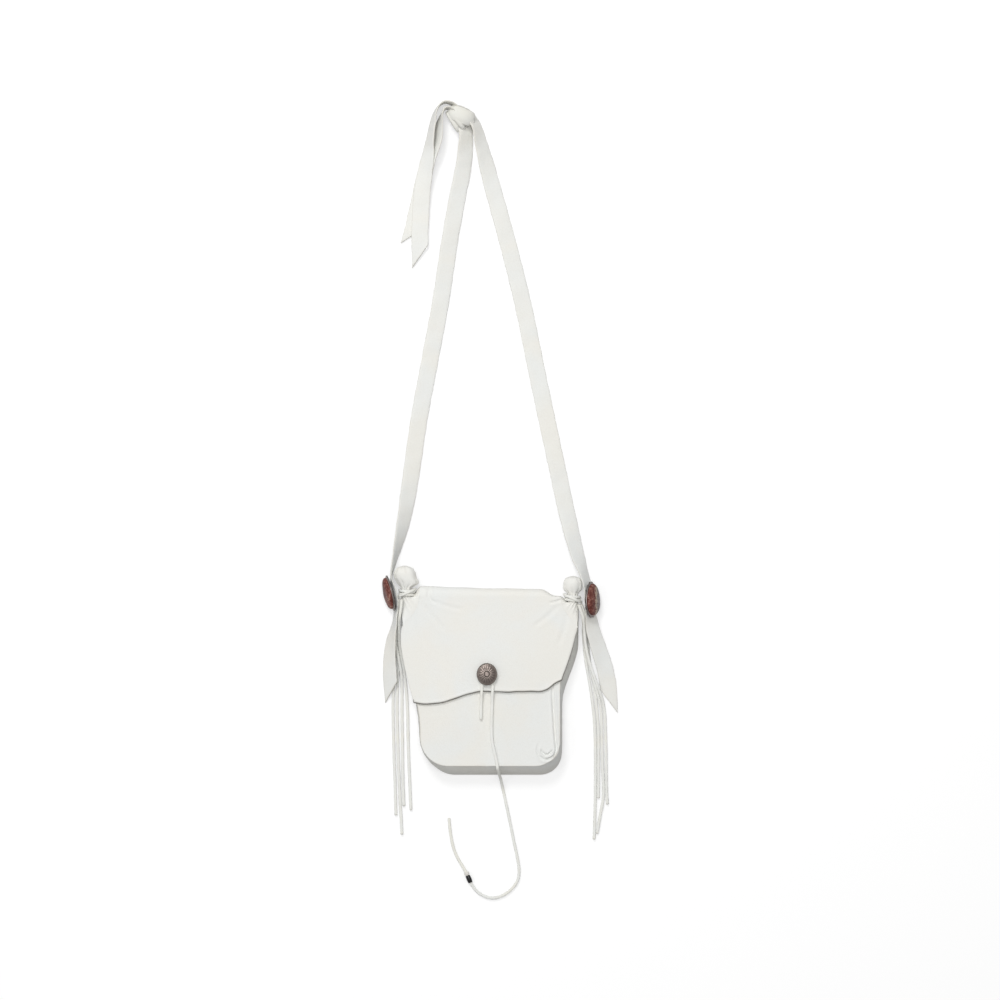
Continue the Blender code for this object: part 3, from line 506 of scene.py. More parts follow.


# The flap is the hide's own lower part, folded over the mouth. Its lower edge is the natural edge of the
# skin, wavy and a little curled up. Flap and fold are one piece.
# Painted shadow: the flap's cut edges are coloured nearly black, standing in for the shade under its curled
# lower edge.
shadow_edged_hide = deerskin("flap_deerskin", follows_cut=True, edge_tone_and_shade=(0.12, 0.11, 0.095), edge_tone_and_shade_share=0.92)
FLAP_GAP, SHOULDER_END_Y = 0.3 * MM, FOLD_Y - 36 * MM
FOLD_TURNS = 26


def flap_top(x, y):
    return front_top(x, y) + FLAP_GAP + HIDE


def shoulder_cut(side):
    """The line from the fold's end to the flap's side, beyond which the hide is drawn into the ear."""
    return [
        (side * FOLD_HALF, FOLD_Y),
        (side * (FOLD_HALF + 3 * MM), FOLD_Y - 11.5 * MM),
        (side * (FOLD_HALF + 9 * MM), FOLD_Y - 22 * MM),
        (side * (FLAP_HALF - 1.5 * MM), SHOULDER_END_Y),
    ]


def flap_plan(columns, rows):
    """The flap's net in plan, between its natural edge, its two sides and the fold."""
    edge = [(-91, -25), (-83, -26.6), (-68, -26.2), (-54, -24.2), (-44, -21.2), (-36, -18), (-25, -14.4)]
    edge += [(-14, -12.2), (-2, -11.8), (12, -12), (24, -12.4), (36, -12), (50, -11.6), (62, -11.3)]
    edge += [(68, -9.4), (77, -2.4), (85.5, 2)]
    left = [edge[0], (-98, 0), (-103.5, 25), (-FLAP_HALF / MM, 48)]
    right = [edge[-1], (90, 14), (94.4, 26), (98.6, 39), (102.2, 53)]
    left = [*np.array(left) * MM, *shoulder_cut(-1)[::-1]]
    right = [*np.array(right) * MM, *shoulder_cut(1)[::-1]]
    top = [(-FOLD_HALF, FOLD_Y), (0, FOLD_Y), (FOLD_HALF, FOLD_Y)]
    bottom = flat_line(np.array(edge) * MM, columns)
    ragged = np.arange(columns) * 1.0
    inner = np.clip(np.minimum(ragged, ragged[::-1]) / 6, 0, 1)
    bottom[:, 1] += inner * (0.13 * MM * np.sin(ragged / 2.9) + 0.2 * MM * np.sin(ragged / 6.1 + 1))
    return patch(bottom, flat_line(top, columns), flat_line(left, rows), flat_line(right, rows))


def flap_net(columns=170, rows=128):
    """Fold and flap as one net. The fold is half a tube round the hinge, fuller on the left. The flap lies on
    the front, its lower edge curled up by the square of the nearness to it, with creases from both ears."""
    plan = flap_plan(columns, rows)
    x, y = plan[..., 0], plan[..., 1]
    net = np.dstack((plan, flap_top(x, y)))
    for line, width, depth in (
        ([(-80, 107), (-74, 101), (-69, 95.5), (-64, 92)], 1.5, 0.95),
        ([(-84, 96), (-76, 86), (-66, 74), (-52, 58)], 2.6, 0.55),
        ([(-88, 88), (-86, 74), (-82, 56), (-76, 38)], 2.8, 0.45),
        ([(-74, 99), (-62, 93), (-46, 88), (-30, 85)], 2.4, 0.45),
        ([(88, 97.5), (84, 96.2), (76.4, 93.8), (70, 93.4)], 1.5, 1.0),
        ([(84, 92), (74, 82), (62, 72), (50, 64)], 2.6, 0.5),
        ([(90, 84), (90, 70), (86, 54), (80, 40)], 2.8, 0.45),
    ):
        trace = flat_line(np.array(line) * MM, 50)
        net[..., 2] += groove(net, trace, width * MM, depth * MM, 0.35 * depth * MM)
    down, across = walked_along(net, 0), walked_along(net, 1)
    net[..., 2] += 1.9 * MM * np.clip(1 - down / (4.2 * MM), 0, 1) ** 2
    free = np.clip((48 * MM - y) / (20 * MM), 0, 1)
    net[..., 2] += free * 0.9 * MM * np.clip(1 - (across[:, -1:] - across) / (5 * MM), 0, 1) ** 2
    hinge_z = (depth_at(FOLD_Y) + FLAP_GAP + HIDE) / 2
    angle = np.linspace(-np.pi / 2, np.pi / 2, FOLD_TURNS)[:, None]
    t = np.linspace(0, 1, columns)[None, :]
    sag = 1 + 0.035 * np.sin(9 * t + 0.7) + 0.02 * np.sin(23 * t)
    drawn_in = smooth_step(np.clip((t - 0.86) / 0.11, 0, 1))
    reach = (hinge_z + (3.0 - 4.2 * t) * MM) * np.cos(angle) * sag * (1 - 0.85 * drawn_in)
    top_row = net[-1]
    rise = (1 + np.sin(angle)) / 2
    tube = np.dstack((
        top_row[None, :, 0] + 0 * angle,
        FOLD_Y + 0.05 * MM + reach,
        2 * hinge_z * rise + (top_row[:, 2] - 2 * hinge_z)[None, :] * rise,
    ))
    return np.vstack((tube, net[::-1][1:])), hinge_z


def shoulder_end(side_line):
    """The row of the net where a side of the flap comes free of the shoulder."""
    return FOLD_TURNS + int(np.argmin(np.abs(side_line[FOLD_TURNS:, 1] - SHOULDER_END_Y)))


folded_net, hinge_height = flap_net()
gathered = np.zeros(folded_net.shape[:2], bool)
gathered[0] = True
for column in (0, -1):
    gathered[: shoulder_end(folded_net[:, column]) + 1, column] = True
flap = hide("folded_flap", folded_net, shadow_edged_hide, None, flip=True, rounding=0.4 * MM, seam=gathered)
near_cut = np.zeros(gathered.size, np.float32)
flap.data.attributes["edge"].data.foreach_get("value", near_cut)
near_cut = near_cut.reshape(gathered.shape)
# The painted edge shadow is mostly taken off the flap's left side, which faces the light.
near_cut[:-4, :4] *= 0.12
mark_points(flap.data, "edge", near_cut)
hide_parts("flap", "flap_fold")
2 * hinge_height - 1.6 * MM
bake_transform(flap)


# Each upper corner of the flap is drawn together like a drawstring purse and passes under the binding.
# The hide fans out from the neck over the end of the fold and down to the flap's side.
LEFT_NECK, RIGHT_NECK = (-99.5 * MM, 105 * MM), (99 * MM, 98.5 * MM)
NECK_Z, NECK_RADIUS = 12.2 * MM, 6.2 * MM
NECKS = (("left", -1, LEFT_NECK), ("right", 1, RIGHT_NECK))


def shoulder_net(side, neck):
    """A fan of hide: straight blends from the rim of fold and flap to the neck's circle, with pleats that
    grow towards the neck as a power of the way there."""
    count = 90
    rim = folded_net[:, 0 if side < 0 else -1]
    rim = smooth_line(rim[3 : shoulder_end(rim) : 3], count=count)
    rim[:, 0] += side * 0.05 * MM
    share = np.linspace(0, 1, count)
    turn = np.radians(-75 + 250 * share)
    radius = NECK_RADIUS + 1.2 * MM
    neck_y = neck[1] - 4.2 * MM - 3 * MM * share**3
    ring = np.column_stack((neck[0] - side * radius * np.cos(turn), neck_y, NECK_Z + radius * np.sin(turn)))
    t = np.linspace(0, 1, 44)[None, :, None]
    ease = smooth_step(t)
    net = rim[:, None] * (1 - t) + ring[:, None] * t
    net[..., 2:] = rim[:, None, 2:] * (1 - ease) + ring[:, None, 2:] * ease
    pleat = np.sin(2 * np.pi * (7.5 * share + 0.35 * np.sin(9 * share)))[:, None]
    swell = 0.75 * MM * pleat * t[..., 0] ** 1.6 * (1 - 0.5 * t[..., 0])
    net[..., 2] += swell * np.sin(np.pi * share)[:, None] ** 0.4
    return net


for label, side, neck in NECKS:
    fan_net = shoulder_net(side, neck)
    whole = np.ones(fan_net.shape[:2], bool)
    sewn = {"flip": side > 0, "thickness": 1.2 * MM, "rounding": 0, "seam": whole}
    fan = hide(f"gathered_shoulder_{label}", fan_net, white_hide, "pouch", **sewn)
    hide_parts(f"shoulder_{label}")


# The ears are the ends of the gathered corners: a pleated neck and a soft tuft of hide that stands beyond
# the binding. The left one is a full round bulb and the right one a smaller tab.
def angles(count):
    return np.linspace(0, 2 * np.pi, count, endpoint=False)


def closed_loft(name, rings, material, body, cap_edge=True):
    """A closed skin over a row of equal rings, rings by points by 3, with a fan over each end. Its faces are
    turned to point outwards by the sign of the volume that they enclose."""
    count, around = rings.shape[:2]
    index = np.arange(count * around).reshape(count, around)
    near, far = index, np.roll(index, -1, axis=1)
    quads = np.stack((near[:-1], far[:-1], far[1:], near[1:]), -1).reshape(-1, 4)
    first, last = count * around, count * around + 1
    ends = np.vstack((
        np.column_stack((far[0], near[0], np.full(around, first))),
        np.column_stack((near[-1], far[-1], np.full(around, last))),
    ))
    points = np.vstack((rings.reshape(-1, 3), rings[0].mean(0), rings[-1].mean(0)))
    run = walked_along(rings.mean(1))
    sides = np.linalg.norm(np.roll(rings, -1, axis=1) - rings, axis=2).mean(0)
    turned = np.concatenate(([0], np.cumsum(sides)))
    column = np.tile(np.arange(around), count - 1)
    row = np.repeat(np.arange(count - 1), around)
    u0, u1 = turned[column], turned[column + 1]
    v0, v1 = run[row], run[row + 1]
    cut = np.stack([np.column_stack(corner) for corner in ((u0, v0), (u1, v0), (u1, v1), (u0, v1))], 1)
    end_cut = points[ends][..., :2]
    corners = points[np.vstack((quads[:, :3], quads[:, (0, 2, 3)], ends))]
    volume = np.einsum("ij,ij->", corners[:, 0], np.cross(corners[:, 1], corners[:, 2]))
    if volume < 0:
        quads, cut, ends, end_cut = quads[:, ::-1], cut[:, ::-1], ends[:, ::-1], end_cut[:, ::-1]
    edge = np.zeros(len(points))
    if cap_edge:
        edge[: count * around] = np.repeat(np.exp(-np.minimum(run, run[-1] - run) / MM), around)
        edge[-2:] = 1.0
    faces = quads.tolist() + ends.tolist()
    flat = np.vstack((cut.reshape(-1, 2), end_cut.reshape(-1, 2)))
    return piece(name, points, faces, flat, edge, material, body)


def ear_rings(neck, skirt, ball, lean, seed):
    """Rings round a line along Y. Half width and half height follow a smooth profile; the pleats are sharp
    ridges round the neck, the absolute value of a sine, that soften into low lobes on the tuft."""
    wide, tall, long = ball
    binding_half = 5.55 * MM
    base = neck[1] + binding_half
    profile = [
        (MOUTH_Y + 0.6 * MM, skirt, 6.4 * MM, 0.0, 9.2 * MM, 0.2),
        (neck[1] - binding_half - 1 * MM, NECK_RADIUS + 0.6 * MM, NECK_RADIUS, 0.0, NECK_Z, 0.8),
        (neck[1], NECK_RADIUS, NECK_RADIUS, 0.0, NECK_Z, 1.0),
        (base + 1 * MM, NECK_RADIUS + 1 * MM, NECK_RADIUS + 1 * MM, 0.1, NECK_Z, 1.0),
        (base + 0.2 * long, 0.93 * wide, 0.86 * tall, -0.5, NECK_Z, 0.6),
        (base + 0.48 * long, wide, tall, 0.7, NECK_Z, 0.22),
        (base + 0.76 * long, 0.9 * wide, 0.88 * tall, 1.0, NECK_Z, 0.25),
        (base + 0.94 * long, 0.52 * wide, 0.5 * tall, 1.0, NECK_Z, 0.7),
        (base + long, 0.12 * wide, 0.12 * tall, 1.0, NECK_Z, 0.9),
    ]
    steps = smooth_line(np.insert(profile, [1, 1], 0.0, axis=1), count=96)
    y, half_x, half_z, shift, z, gather = (steps[:, k, None] for k in (0, 3, 4, 5, 6, 7))
    a = angles(144)[None, :]
    phase = np.random.default_rng(seed).uniform(0, 2 * np.pi, 3)
    ridges = np.abs(np.sin(4.5 * a + phase[0] + 0.5 * np.sin(2 * a + phase[1])))
    soft = 0.5 + 0.5 * np.sin(5 * a + 90 * (y - neck[1]) + phase[2])
    pleat = 1 - 0.16 * gather * (1 - ridges) - 0.05 * (1 - gather) * soft
    x = neck[0] + lean * shift + half_x * pleat * np.cos(a)
    return np.dstack((x, y + 0 * a, z + half_z * pleat * np.sin(a)))


for label, neck, skirt, ball, lean, seed in (
    ("left", LEFT_NECK, 8.0 * MM, (13.9 * MM, 10.4 * MM, 27 * MM), -2.5 * MM, 3),
    ("right", RIGHT_NECK, 8.5 * MM, (11.6 * MM, 9.7 * MM, 21 * MM), 0.0, 8),
):
    rings = ear_rings(neck, skirt, ball, lean, seed)
    ear = closed_loft(f"gathered_ear_{label}", rings, white_hide, "pouch", cap_edge=False)
    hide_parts(f"ear_{label}")


# Each neck is bound with deerskin lace: two turns side by side and one that crosses over them.
# The lace is cut about 3.4 mm wide, so its section is a soft-cornered square that wanders a little.
lace_hide = deerskin("white_lace", follows_cut=True, warmth=0.6)


def wandering(count, waves, seed):
    """A smooth value between -1 and 1 along a piece: three sine waves with seeded phases."""
    phase = np.random.default_rng(seed).uniform(0, 2 * np.pi, 3)
    s = np.linspace(0, 2 * np.pi * waves, count)
    return (np.sin(s + phase[0]) + 0.7 * np.sin(1.7 * s + phase[1]) + 0.5 * np.sin(2.9 * s + phase[2])) / 2.2


def carried(path, outward, section):
    """A section carried along a path. Each of its points (a, b) stands at the path, plus a across it, plus b
    along the outward direction, made square to the path."""
    along = unit(np.gradient(path, axis=0))
    across = unit(np.cross(along, outward))
    upright = np.cross(across, along)
    return path[:, None] + section[..., :1] * across[:, None] + section[..., 1:] * upright[:, None]


def squared(values, power):
    """Cosines or sines with their size raised to a power below 1 and their sign kept."""
    return np.sign(values) * np.abs(values) ** power


def soft_square(half_wide, half_thick, around=16, power=0.62):
    """A superellipse, which is a circle with squared cosine and sine."""
    a = angles(around)
    return np.column_stack((half_wide * squared(np.cos(a), power), half_thick * squared(np.sin(a), power)))


def lace(name, path, outward, seed, body="pouch", half_wide=1.72 * MM, half_thick=1.5 * MM):
    """A cut lace along a path: its section grows and shrinks by 6% and rolls by up to 14 degrees."""
    count = len(path)
    section = np.repeat(soft_square(half_wide, half_thick)[None], count, 0)
    section *= 1 + 0.06 * wandering(count, count / 14, seed)[:, None, None]
    roll = 0.25 * wandering(count, count / 40, seed + 1)[:, None]
    a, b = section[..., 0], section[..., 1]
    section = np.dstack((a * np.cos(roll) - b * np.sin(roll), a * np.sin(roll) + b * np.cos(roll)))
    section[[0, -1]] *= 0.86
    rings = carried(path, outward, section)
    rings[..., 2] = np.maximum(rings[..., 2], 0.05 * MM)
    return closed_loft(name, rings, lace_hide, body)


def binding_path(neck, turns, radius, pitch, start, lean=0.0):
    """A helix round the neck. A lean slides each point along the neck by the sine of its turn."""
    t = np.linspace(0, turns, round(48 * turns) + 1)
    a = 2 * np.pi * t + start
    y = neck[1] + pitch * (t - turns / 2) + lean * np.sin(a - np.pi / 2)
    centre = np.column_stack((np.full(len(t), neck[0]), y, np.full(len(t), NECK_Z)))
    outward = np.column_stack((np.cos(a), 0 * a, np.sin(a)))
    return centre + radius * outward, outward


for label, side, neck in NECKS:
    path, outward = binding_path(neck, 2.0, 8.5 * MM, 3.8 * MM, -np.pi / 2)
    turns = lace(f"binding_turns_{label}", path, outward, 20 + side)
    path, outward = binding_path(neck, 1.0, 10.3 * MM, 0.6 * MM * side, -np.pi / 2, 4.4 * MM * side)
    pulled_tight = {"half_wide": 1.55 * MM, "half_thick": 1.25 * MM}
    over_turn = lace(f"binding_cross_{label}", path, outward, 30 + side, **pulled_tight)
    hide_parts(f"binding_{label}")


# Four laces hang from each binding and lie on the floor beside the pouch. They are free cut lengths of the
# same deerskin lace, 3.4 mm across, with plain cut ends.
LACE_REST, LACE_GAP = 1.7, 0.4


def laid(route):
    """A route in mm as points in metres. A point without its height rests on the floor."""
    return np.array([(x, y, *(height or [LACE_REST])) for x, y, *height in route]) * MM


def upward_for(path):
    """Up, with a slight lean, so that it never lies along a lace that stands on end."""
    return np.tile((0.0, 0.02, 1.0), (len(path), 1))


# The first number of each point is its distance out from the flap's side.
fringes = {
    "left_1": [(3.3, 97.8, 7.6), (2.5, 84, 3.4), (4.7, 68), (6.4, 52), (6.7, 36), (7.7, 10), (9.7, -24)]
    + [(9.1, -72), (7.5, -120), (6.3, -162)],
    "left_2": [(3.5, 97.8, 11.8), (2.3, 84, 7.4), (2.5, 66, 4.2), (2.9, 46), (3.7, 10), (4.9, -24)]
    + [(4.1, -72), (2, -130), (-0.9, -185)],
    "left_3": [(2.5, 97.8, 16), (2.2, 84, 11.8), (3.7, 66, 8.0), (6.1, 44, 5.5), (2.5, 24, 5.9)]
    + [(-0.3, 4, 3.8), (-0.9, -12), (-0.9, -36), (-1.5, -72), (-2.1, -120), (-3.3, -151)],
    "left_4": [(-1.1, 97.6, 22.6), (-0.3, 88, 22.8), (1.1, 78, 21.4), (2.4, 68, 15.2), (2.4, 57, 10.6)]
    + [(2.3, 46, 7.2), (-0.3, 28, 4), (-3.6, 8), (-6.1, -12), (-7.7, -40), (-8.3, -72), (-9.7, -110)]
    + [(-11.7, -156)],
    "right_1": [(2.1, 91.4, 9), (5.1, 74, 5.2), (5.5, 54), (8, 26), (13, -4), (17.5, -36), (19.5, -66)]
    + [(19.9, -104), (19.7, -146), (18.3, -191)],
    "right_2": [(2.9, 91.4, 13.4), (8.9, 74, 9.5), (10.1, 52), (12.5, 26), (17.5, -4), (21.7, -36)]
    + [(23.5, -66), (23.7, -104), (23.4, -141.5)],
    "right_3": [(2.4, 91.4, 17.6), (7.3, 76, 13.8), (7.9, 56, 6.4), (10.3, 28, 5.6), (18.7, -4, 5.8)]
    + [(26.3, -34), (27.5, -66), (28.5, -104), (29.1, -143), (25.5, -163), (21.9, -184)],
    "right_4": [(-0.5, 91.2, 22.4), (4.1, 78, 20), (6.1, 60, 12), (7.7, 44, 10), (13.1, 20, 9.4)]
    + [(22.1, -6, 7.8), (29.7, -30), (32.1, -66), (32.9, -104), (33.3, -132), (34.3, -149)],
}
for number, (label, route) in enumerate(fringes.items()):
    side = -1 if label.startswith("left") else 1
    path = smooth_line((laid(route) + (FLAP_HALF, 0, 0)) * (side, 1, 1), step=1.5 * MM)
    strand = lace(f"fringe_lace_{label}", path, upward_for(path), 40 + 3 * number)
    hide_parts(f"fringe_{label}")


# The side ornaments hang on the straps at the necks, nearly edge on to the camera. Each is an oval plate of
# darkened metal with a scalloped rim and a raised bezel, and a mottled red-brown stone is set in it.
def aged_metal(name, bright, dark):
    """Metal that has been handled: bright on the raised parts and dark in the hollows, by the worn mark."""
    metal = Finish(name, bright[:3])
    place = metal.own_place()
    blotches = metal.noise(place, 260.0, 4.0, 0.6)
    scratches = metal.noise(place, 1500.0, 3.0, 0.7)
    share = (metal.mark("worn") * 0.9 + blotches * 0.5 - 0.12).between(0.15, 0.95)
    return metal.coated(0.35, 0.12 * MM, blotches * 0.7 + scratches * 0.3, {
        "Base Color": metal.mixed(share, dark, bright),
        "Metallic": 1.0,
        "Roughness": 0.52 - 0.2 * share + 0.12 * scratches,
    })


def jasper(name, matrix_from):
    """Opaque mottled stone: dark red-brown with pinkish patches, pale veins between broken cells, and
    scattered dark specks, under a worn polish. Past a given distance in X, in mm, it turns cream and then
    grey."""
    stone = Finish(name, (0.2, 0.055, 0.04))
    place = stone.own_place()
    drift = stone.noise(place, 120.0, 4.0, 0.6, 1.2)
    fine = stone.noise(place, 620.0, 4.0, 0.65)
    broken = {"Vector": place, "Scale": 190.0}
    cells = stone.node("ShaderNodeTexVoronoi", {"feature": "DISTANCE_TO_EDGE"}, broken)
    pink = fine.between(0.48, 0.64) * drift.between(0.35, 0.6)
    veins = (1 - cells.between(0.0, 0.07)) * drift.between(0.52, 0.68)
    colour = stone.mixed(drift.between(0.42, 0.62), rgb(0.092, 0.022, 0.016), rgb(0.17, 0.047, 0.037))
    colour = stone.mixed(pink, colour, rgb(0.34, 0.16, 0.125))
    colour = stone.mixed(veins, colour, rgb(0.55, 0.42, 0.30))
    colour = stone.mixed(fine.between(0.64, 0.74), colour, rgb(0.035, 0.014, 0.012))
    past = stone.node("ShaderNodeSeparateXYZ", {}, {0: place}, 0) * 1000 - matrix_from + (drift - 0.5) * 9
    cream = stone.mixed(fine.between(0.4, 0.6), rgb(0.50, 0.42, 0.33), rgb(0.30, 0.20, 0.15))
    grey = stone.mixed(fine.between(0.45, 0.62), rgb(0.27, 0.24, 0.235), rgb(0.12, 0.085, 0.075))
    colour = stone.mixed(past.between(0.0, 0.5), colour, stone.mixed(past.between(1.6, 2.6), cream, grey))
    return stone.coated(0.4, 0.2 * MM, fine * 0.6 + drift, {
        "Base Color": colour,
        "Roughness": 0.36 + 0.3 * fine,
        "Specular IOR Level": 0.25,
    })


ORNAMENT_HALF = (15.5 * MM, 21 * MM)


def oval_rings(profile, around, lobes):
    """Rings of an oval that follow a smooth profile of (share of the radius, height in mm, scallop). The
    scallops are the absolute value of a cosine, so they meet in sharp notches."""
    short, long = ORNAMENT_HALF
    stations = [(share * short, height * MM, 0.0, scallop) for share, height, scallop in profile]
    steps = smooth_line(stations, count=70)
    a = angles(around)[None, :]
    grow = 1 + steps[:, 3, None] * (2 * np.abs(np.cos(lobes / 2 * a)) - 1)
    share = steps[:, 0, None] / short
    x = short * share * grow * (1 - 0.14 * share * np.sin(a)) * np.cos(a)
    return np.dstack((x, long * share * grow * np.sin(a), steps[:, 1, None] + 0 * a))


def facing(long_axis, tilt, side):
    """The way an ornament's face looks: sideways and a little up."""
    sideways = Vector((long_axis[1], -long_axis[0], 0)).normalized() * side
    return math.cos(tilt) * sideways + math.sin(tilt) * Vector((0, 0, 1))


def placed(rings, centre, long_axis, tilt, side):
    """Rings from the ornament's own axes to the pouch."""
    normal = facing(long_axis, tilt, side)
    long_way = Vector(long_axis).normalized()
    turn = np.array(Matrix((long_way.cross(normal), long_way, normal)).transposed())
    return rings @ turn.T + np.array(centre)


dark_metal = aged_metal("dark_silver", rgb(0.30, 0.265, 0.25), rgb(0.045, 0.036, 0.034))
stones = {"left": jasper("red_brown_stone_left", 500.0), "right": jasper("red_brown_stone_right", 125.7)}
plate_profile = [(0.19, -1.2, 0.0), (0.19, -0.2, 0.0), (0.22, 0.0, 0.0), (0.6, 0.0, 0.0), (0.93, 0.0, 0.03)]
plate_profile += [(1.0, 0.4, 0.04), (1.0, 1.0, 0.04), (0.975, 1.35, 0.035), (0.965, 1.45, 0.03)]
plate_profile += [(0.95, 1.4, 0.02), (0.94, 1.7, 0.0), (0.935, 2.2, 0.0), (0.92, 2.4, 0.0)]
plate_profile += [(0.905, 2.2, 0.0), (0.89, 1.8, 0.0), (0.4, 1.8, 0.0), (0.05, 1.8, 0.0)]
stone_profile = [(0.05, 1.9), (0.5, 1.9), (0.88, 1.95), (0.903, 2.6), (0.905, 3.9)]
stone_profile += [(0.84, 5.5), (0.68, 7.0), (0.42, 7.8), (0.24, 8.15), (0.03, 8.25)]
ornament_places = {
    "left": ((-118.4 * MM, 105 * MM, 15.2 * MM), (-0.22, 0.975, 0.0), math.radians(14), -1),
    "right": ((120.6 * MM, 97 * MM, 15.2 * MM), (-0.03, 1.0, 0.0), math.radians(30), 1),
}
for label, where in ornament_places.items():
    flat = oval_rings(plate_profile, 168, 14)
    rings = placed(flat, *where)
    backing = closed_loft(f"ornament_plate_{label}", rings, dark_metal, "pouch", cap_edge=False)
    height_share = np.clip(flat[..., 2].ravel() / (2.2 * MM), 0, 1)
    mark_points(backing.data, "worn", np.append(height_share, (0.0, 0.5)))
    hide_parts(f"ornament_backing_{label}")
    dome = oval_rings([(share, height, 0.0) for share, height in stone_profile], 120, 0)
    lumps = np.sin(dome[..., 0] / (4.1 * MM) + 1.2) * np.sin(dome[..., 1] / (5.3 * MM) + where[3])
    dome[..., 2] += 0.35 * MM * lumps * np.clip(dome[..., 2] / (3.2 * MM) - 1, 0, 1)
    rings = placed(dome, *where)
    stone = closed_loft(f"ornament_cabochon_{label}", rings, stones[label], "pouch", cap_edge=False)
    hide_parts(f"ornament_stone_{label}")


# The shoulder straps are two flat deerskin strips, 20 mm wide. Each runs from the knot to its ornament, turns
# on edge to pass behind it, and ends in a slanting cut below.
strap_hide = deerskin("white_strap", follows_cut=True, warmth=0.1)


def strap_rings(stations, cut):
    """A soft-cornered strip carried along stations of (x, y, height, roll in degrees). A station without its
    height lies on the floor. The strip is cupped by half a millimetre across and wavy along both edges, and
    its far end's corners slide along it by the cut."""
    half_wide, half_thick = 10 * MM, 1.1 * MM
    full = []
    for x, y, *height, roll in stations:
        turn = math.radians(roll)
        rest = half_wide * abs(math.sin(turn)) + half_thick * abs(math.cos(turn)) + 0.15 * MM
        full.append((x * MM, y * MM, height[0] * MM if height else rest, roll))
    line = smooth_line(full, step=1.6 * MM)
    path, count = line[:, :3], len(line)
    along = unit(np.gradient(path, axis=0))
    level = unit(np.column_stack((-along[:, 1], along[:, 0], 0 * along[:, 0])))
    upward = np.cross(along, level)
    roll = np.radians(line[:, 3] + 1.6 * wandering(count, count / 30, 5))[:, None]
    across = np.cos(roll) * level + np.sin(roll) * upward
    through = np.cross(along, across)
    a = angles(44)
    c = np.cos(a)
    wide = half_wide * squared(c, 0.42)
    thick = half_thick * squared(np.sin(a), 0.55)
    one_edge, other_edge = wandering(count, count / 16, 6), wandering(count, count / 19, 7)
    ripple = 0.3 * MM * np.where(c > 0, one_edge[:, None], other_edge[:, None])
    cup = 0.45 * MM * wandering(count, count / 45, 8)[:, None] * (1 - (wide / half_wide)[None] ** 2)
    walked = walked_along(path)
    near_end = np.clip(1 - (walked[-1] - walked) / (22 * MM), 0, 1)[:, None]
    share = (wide[None] / half_wide + 1) / 2
    slide = near_end * (cut[0] * MM * (1 - share) + cut[1] * MM * share)
    rings = (
        path[:, None]
        + (wide[None] + ripple * np.abs(c))[..., None] * across[:, None]
        + (thick[None] + cup)[..., None] * through[:, None]
        + slide[..., None] * along[:, None]
    )
    rings[..., 2] = np.maximum(rings[..., 2], 0.1 * MM)
    return rings, walked[-1]


def behind_ornament(label):
    """The strap's middle where it passes behind an ornament's shank, as a station's x, y and height."""
    centre, *pose = ornament_places[label]
    x, y, z = (np.array(centre) - np.array(facing(*pose)) * 2.6 * MM) / MM
    return x, y, z - 1


def strap(name, stations, cut, node):
    """One strap. Its edge mark, a power of the cosine round the section and a fade from the far end,
    darkens its sides and cut end: the raw edge tone with painted edge shade.
    """
    rings, length = strap_rings(stations, cut)
    made = closed_loft(name, rings, strap_hide, "pouch")
    walked = walked_along(rings.mean(1))
    side_tone_and_shade = np.abs(np.cos(angles(rings.shape[1]))) ** 12
    end_tone_and_shade = np.exp(-(walked[-1] - walked) / (1.5 * MM))
    # The sides and cut end are darkened: raw edge tone together with painted edge shade.
    near_cut = np.maximum(side_tone_and_shade[None], end_tone_and_shade[:, None])
    mark_points(made.data, "edge", np.append(near_cut, (1.0, 1.0)))
    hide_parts(node)
    length + 0.004
    return made


strap(
    "shoulder_strap_left",
    [(-30.4, 672, 5.6, -30), (-29.2, 661.8, 6.6, -36), (-30.6, 624, -24), (-39.6, 576, -14)]
    + [(-48, 528, -14), (-58.8, 456, -10), (-72, 384, -8), (-85.2, 312, -10)]
    + [(-95.4, 240, -18), (-103.2, 192, -40), (-110.8, 158, -64), (-115.6, 138, -80)]
    + [(-118.1, 126, -90), (-117.8, 117, -98), (*behind_ornament("left"), -115)]
    + [(-113.6, 93, 12.8, -112), (-112.6, 84, -106), (-113.4, 74, -103), (-115.0, 64, -108)]
    + [(-118.4, 48, -124), (-120.2, 24, -138), (-119.6, 2, -146), (-118.2, -15, -150)],
    (-14, 12),
    "strap_left",
)
strap(
    "shoulder_strap_right",
    [(-26, 679, 5.2, -60), (-18.6, 668.6, 7.0, -58), (-8.8, 636, -38), (0.6, 600, -18)]
    + [(20.4, 528, -12), (38.4, 456, -8), (58.2, 360, -4), (78.6, 264, -6)]
    + [(94.2, 192, -16), (106.8, 144, -42), (113.0, 126, -59), (117.4, 110, 12.4, -60)]
    + [(*behind_ornament("right"), -60), (119.8, 84, 12.2, -56), (121.4, 70, 9.4, -42), (127, 48, 7.0, -27)]
    + [(134.4, 26, 4.6, -17), (140.4, 2, -8), (142.6, -20, -3), (142.8, -25, -3)],
    (-14, 15),
    "strap_right",
)

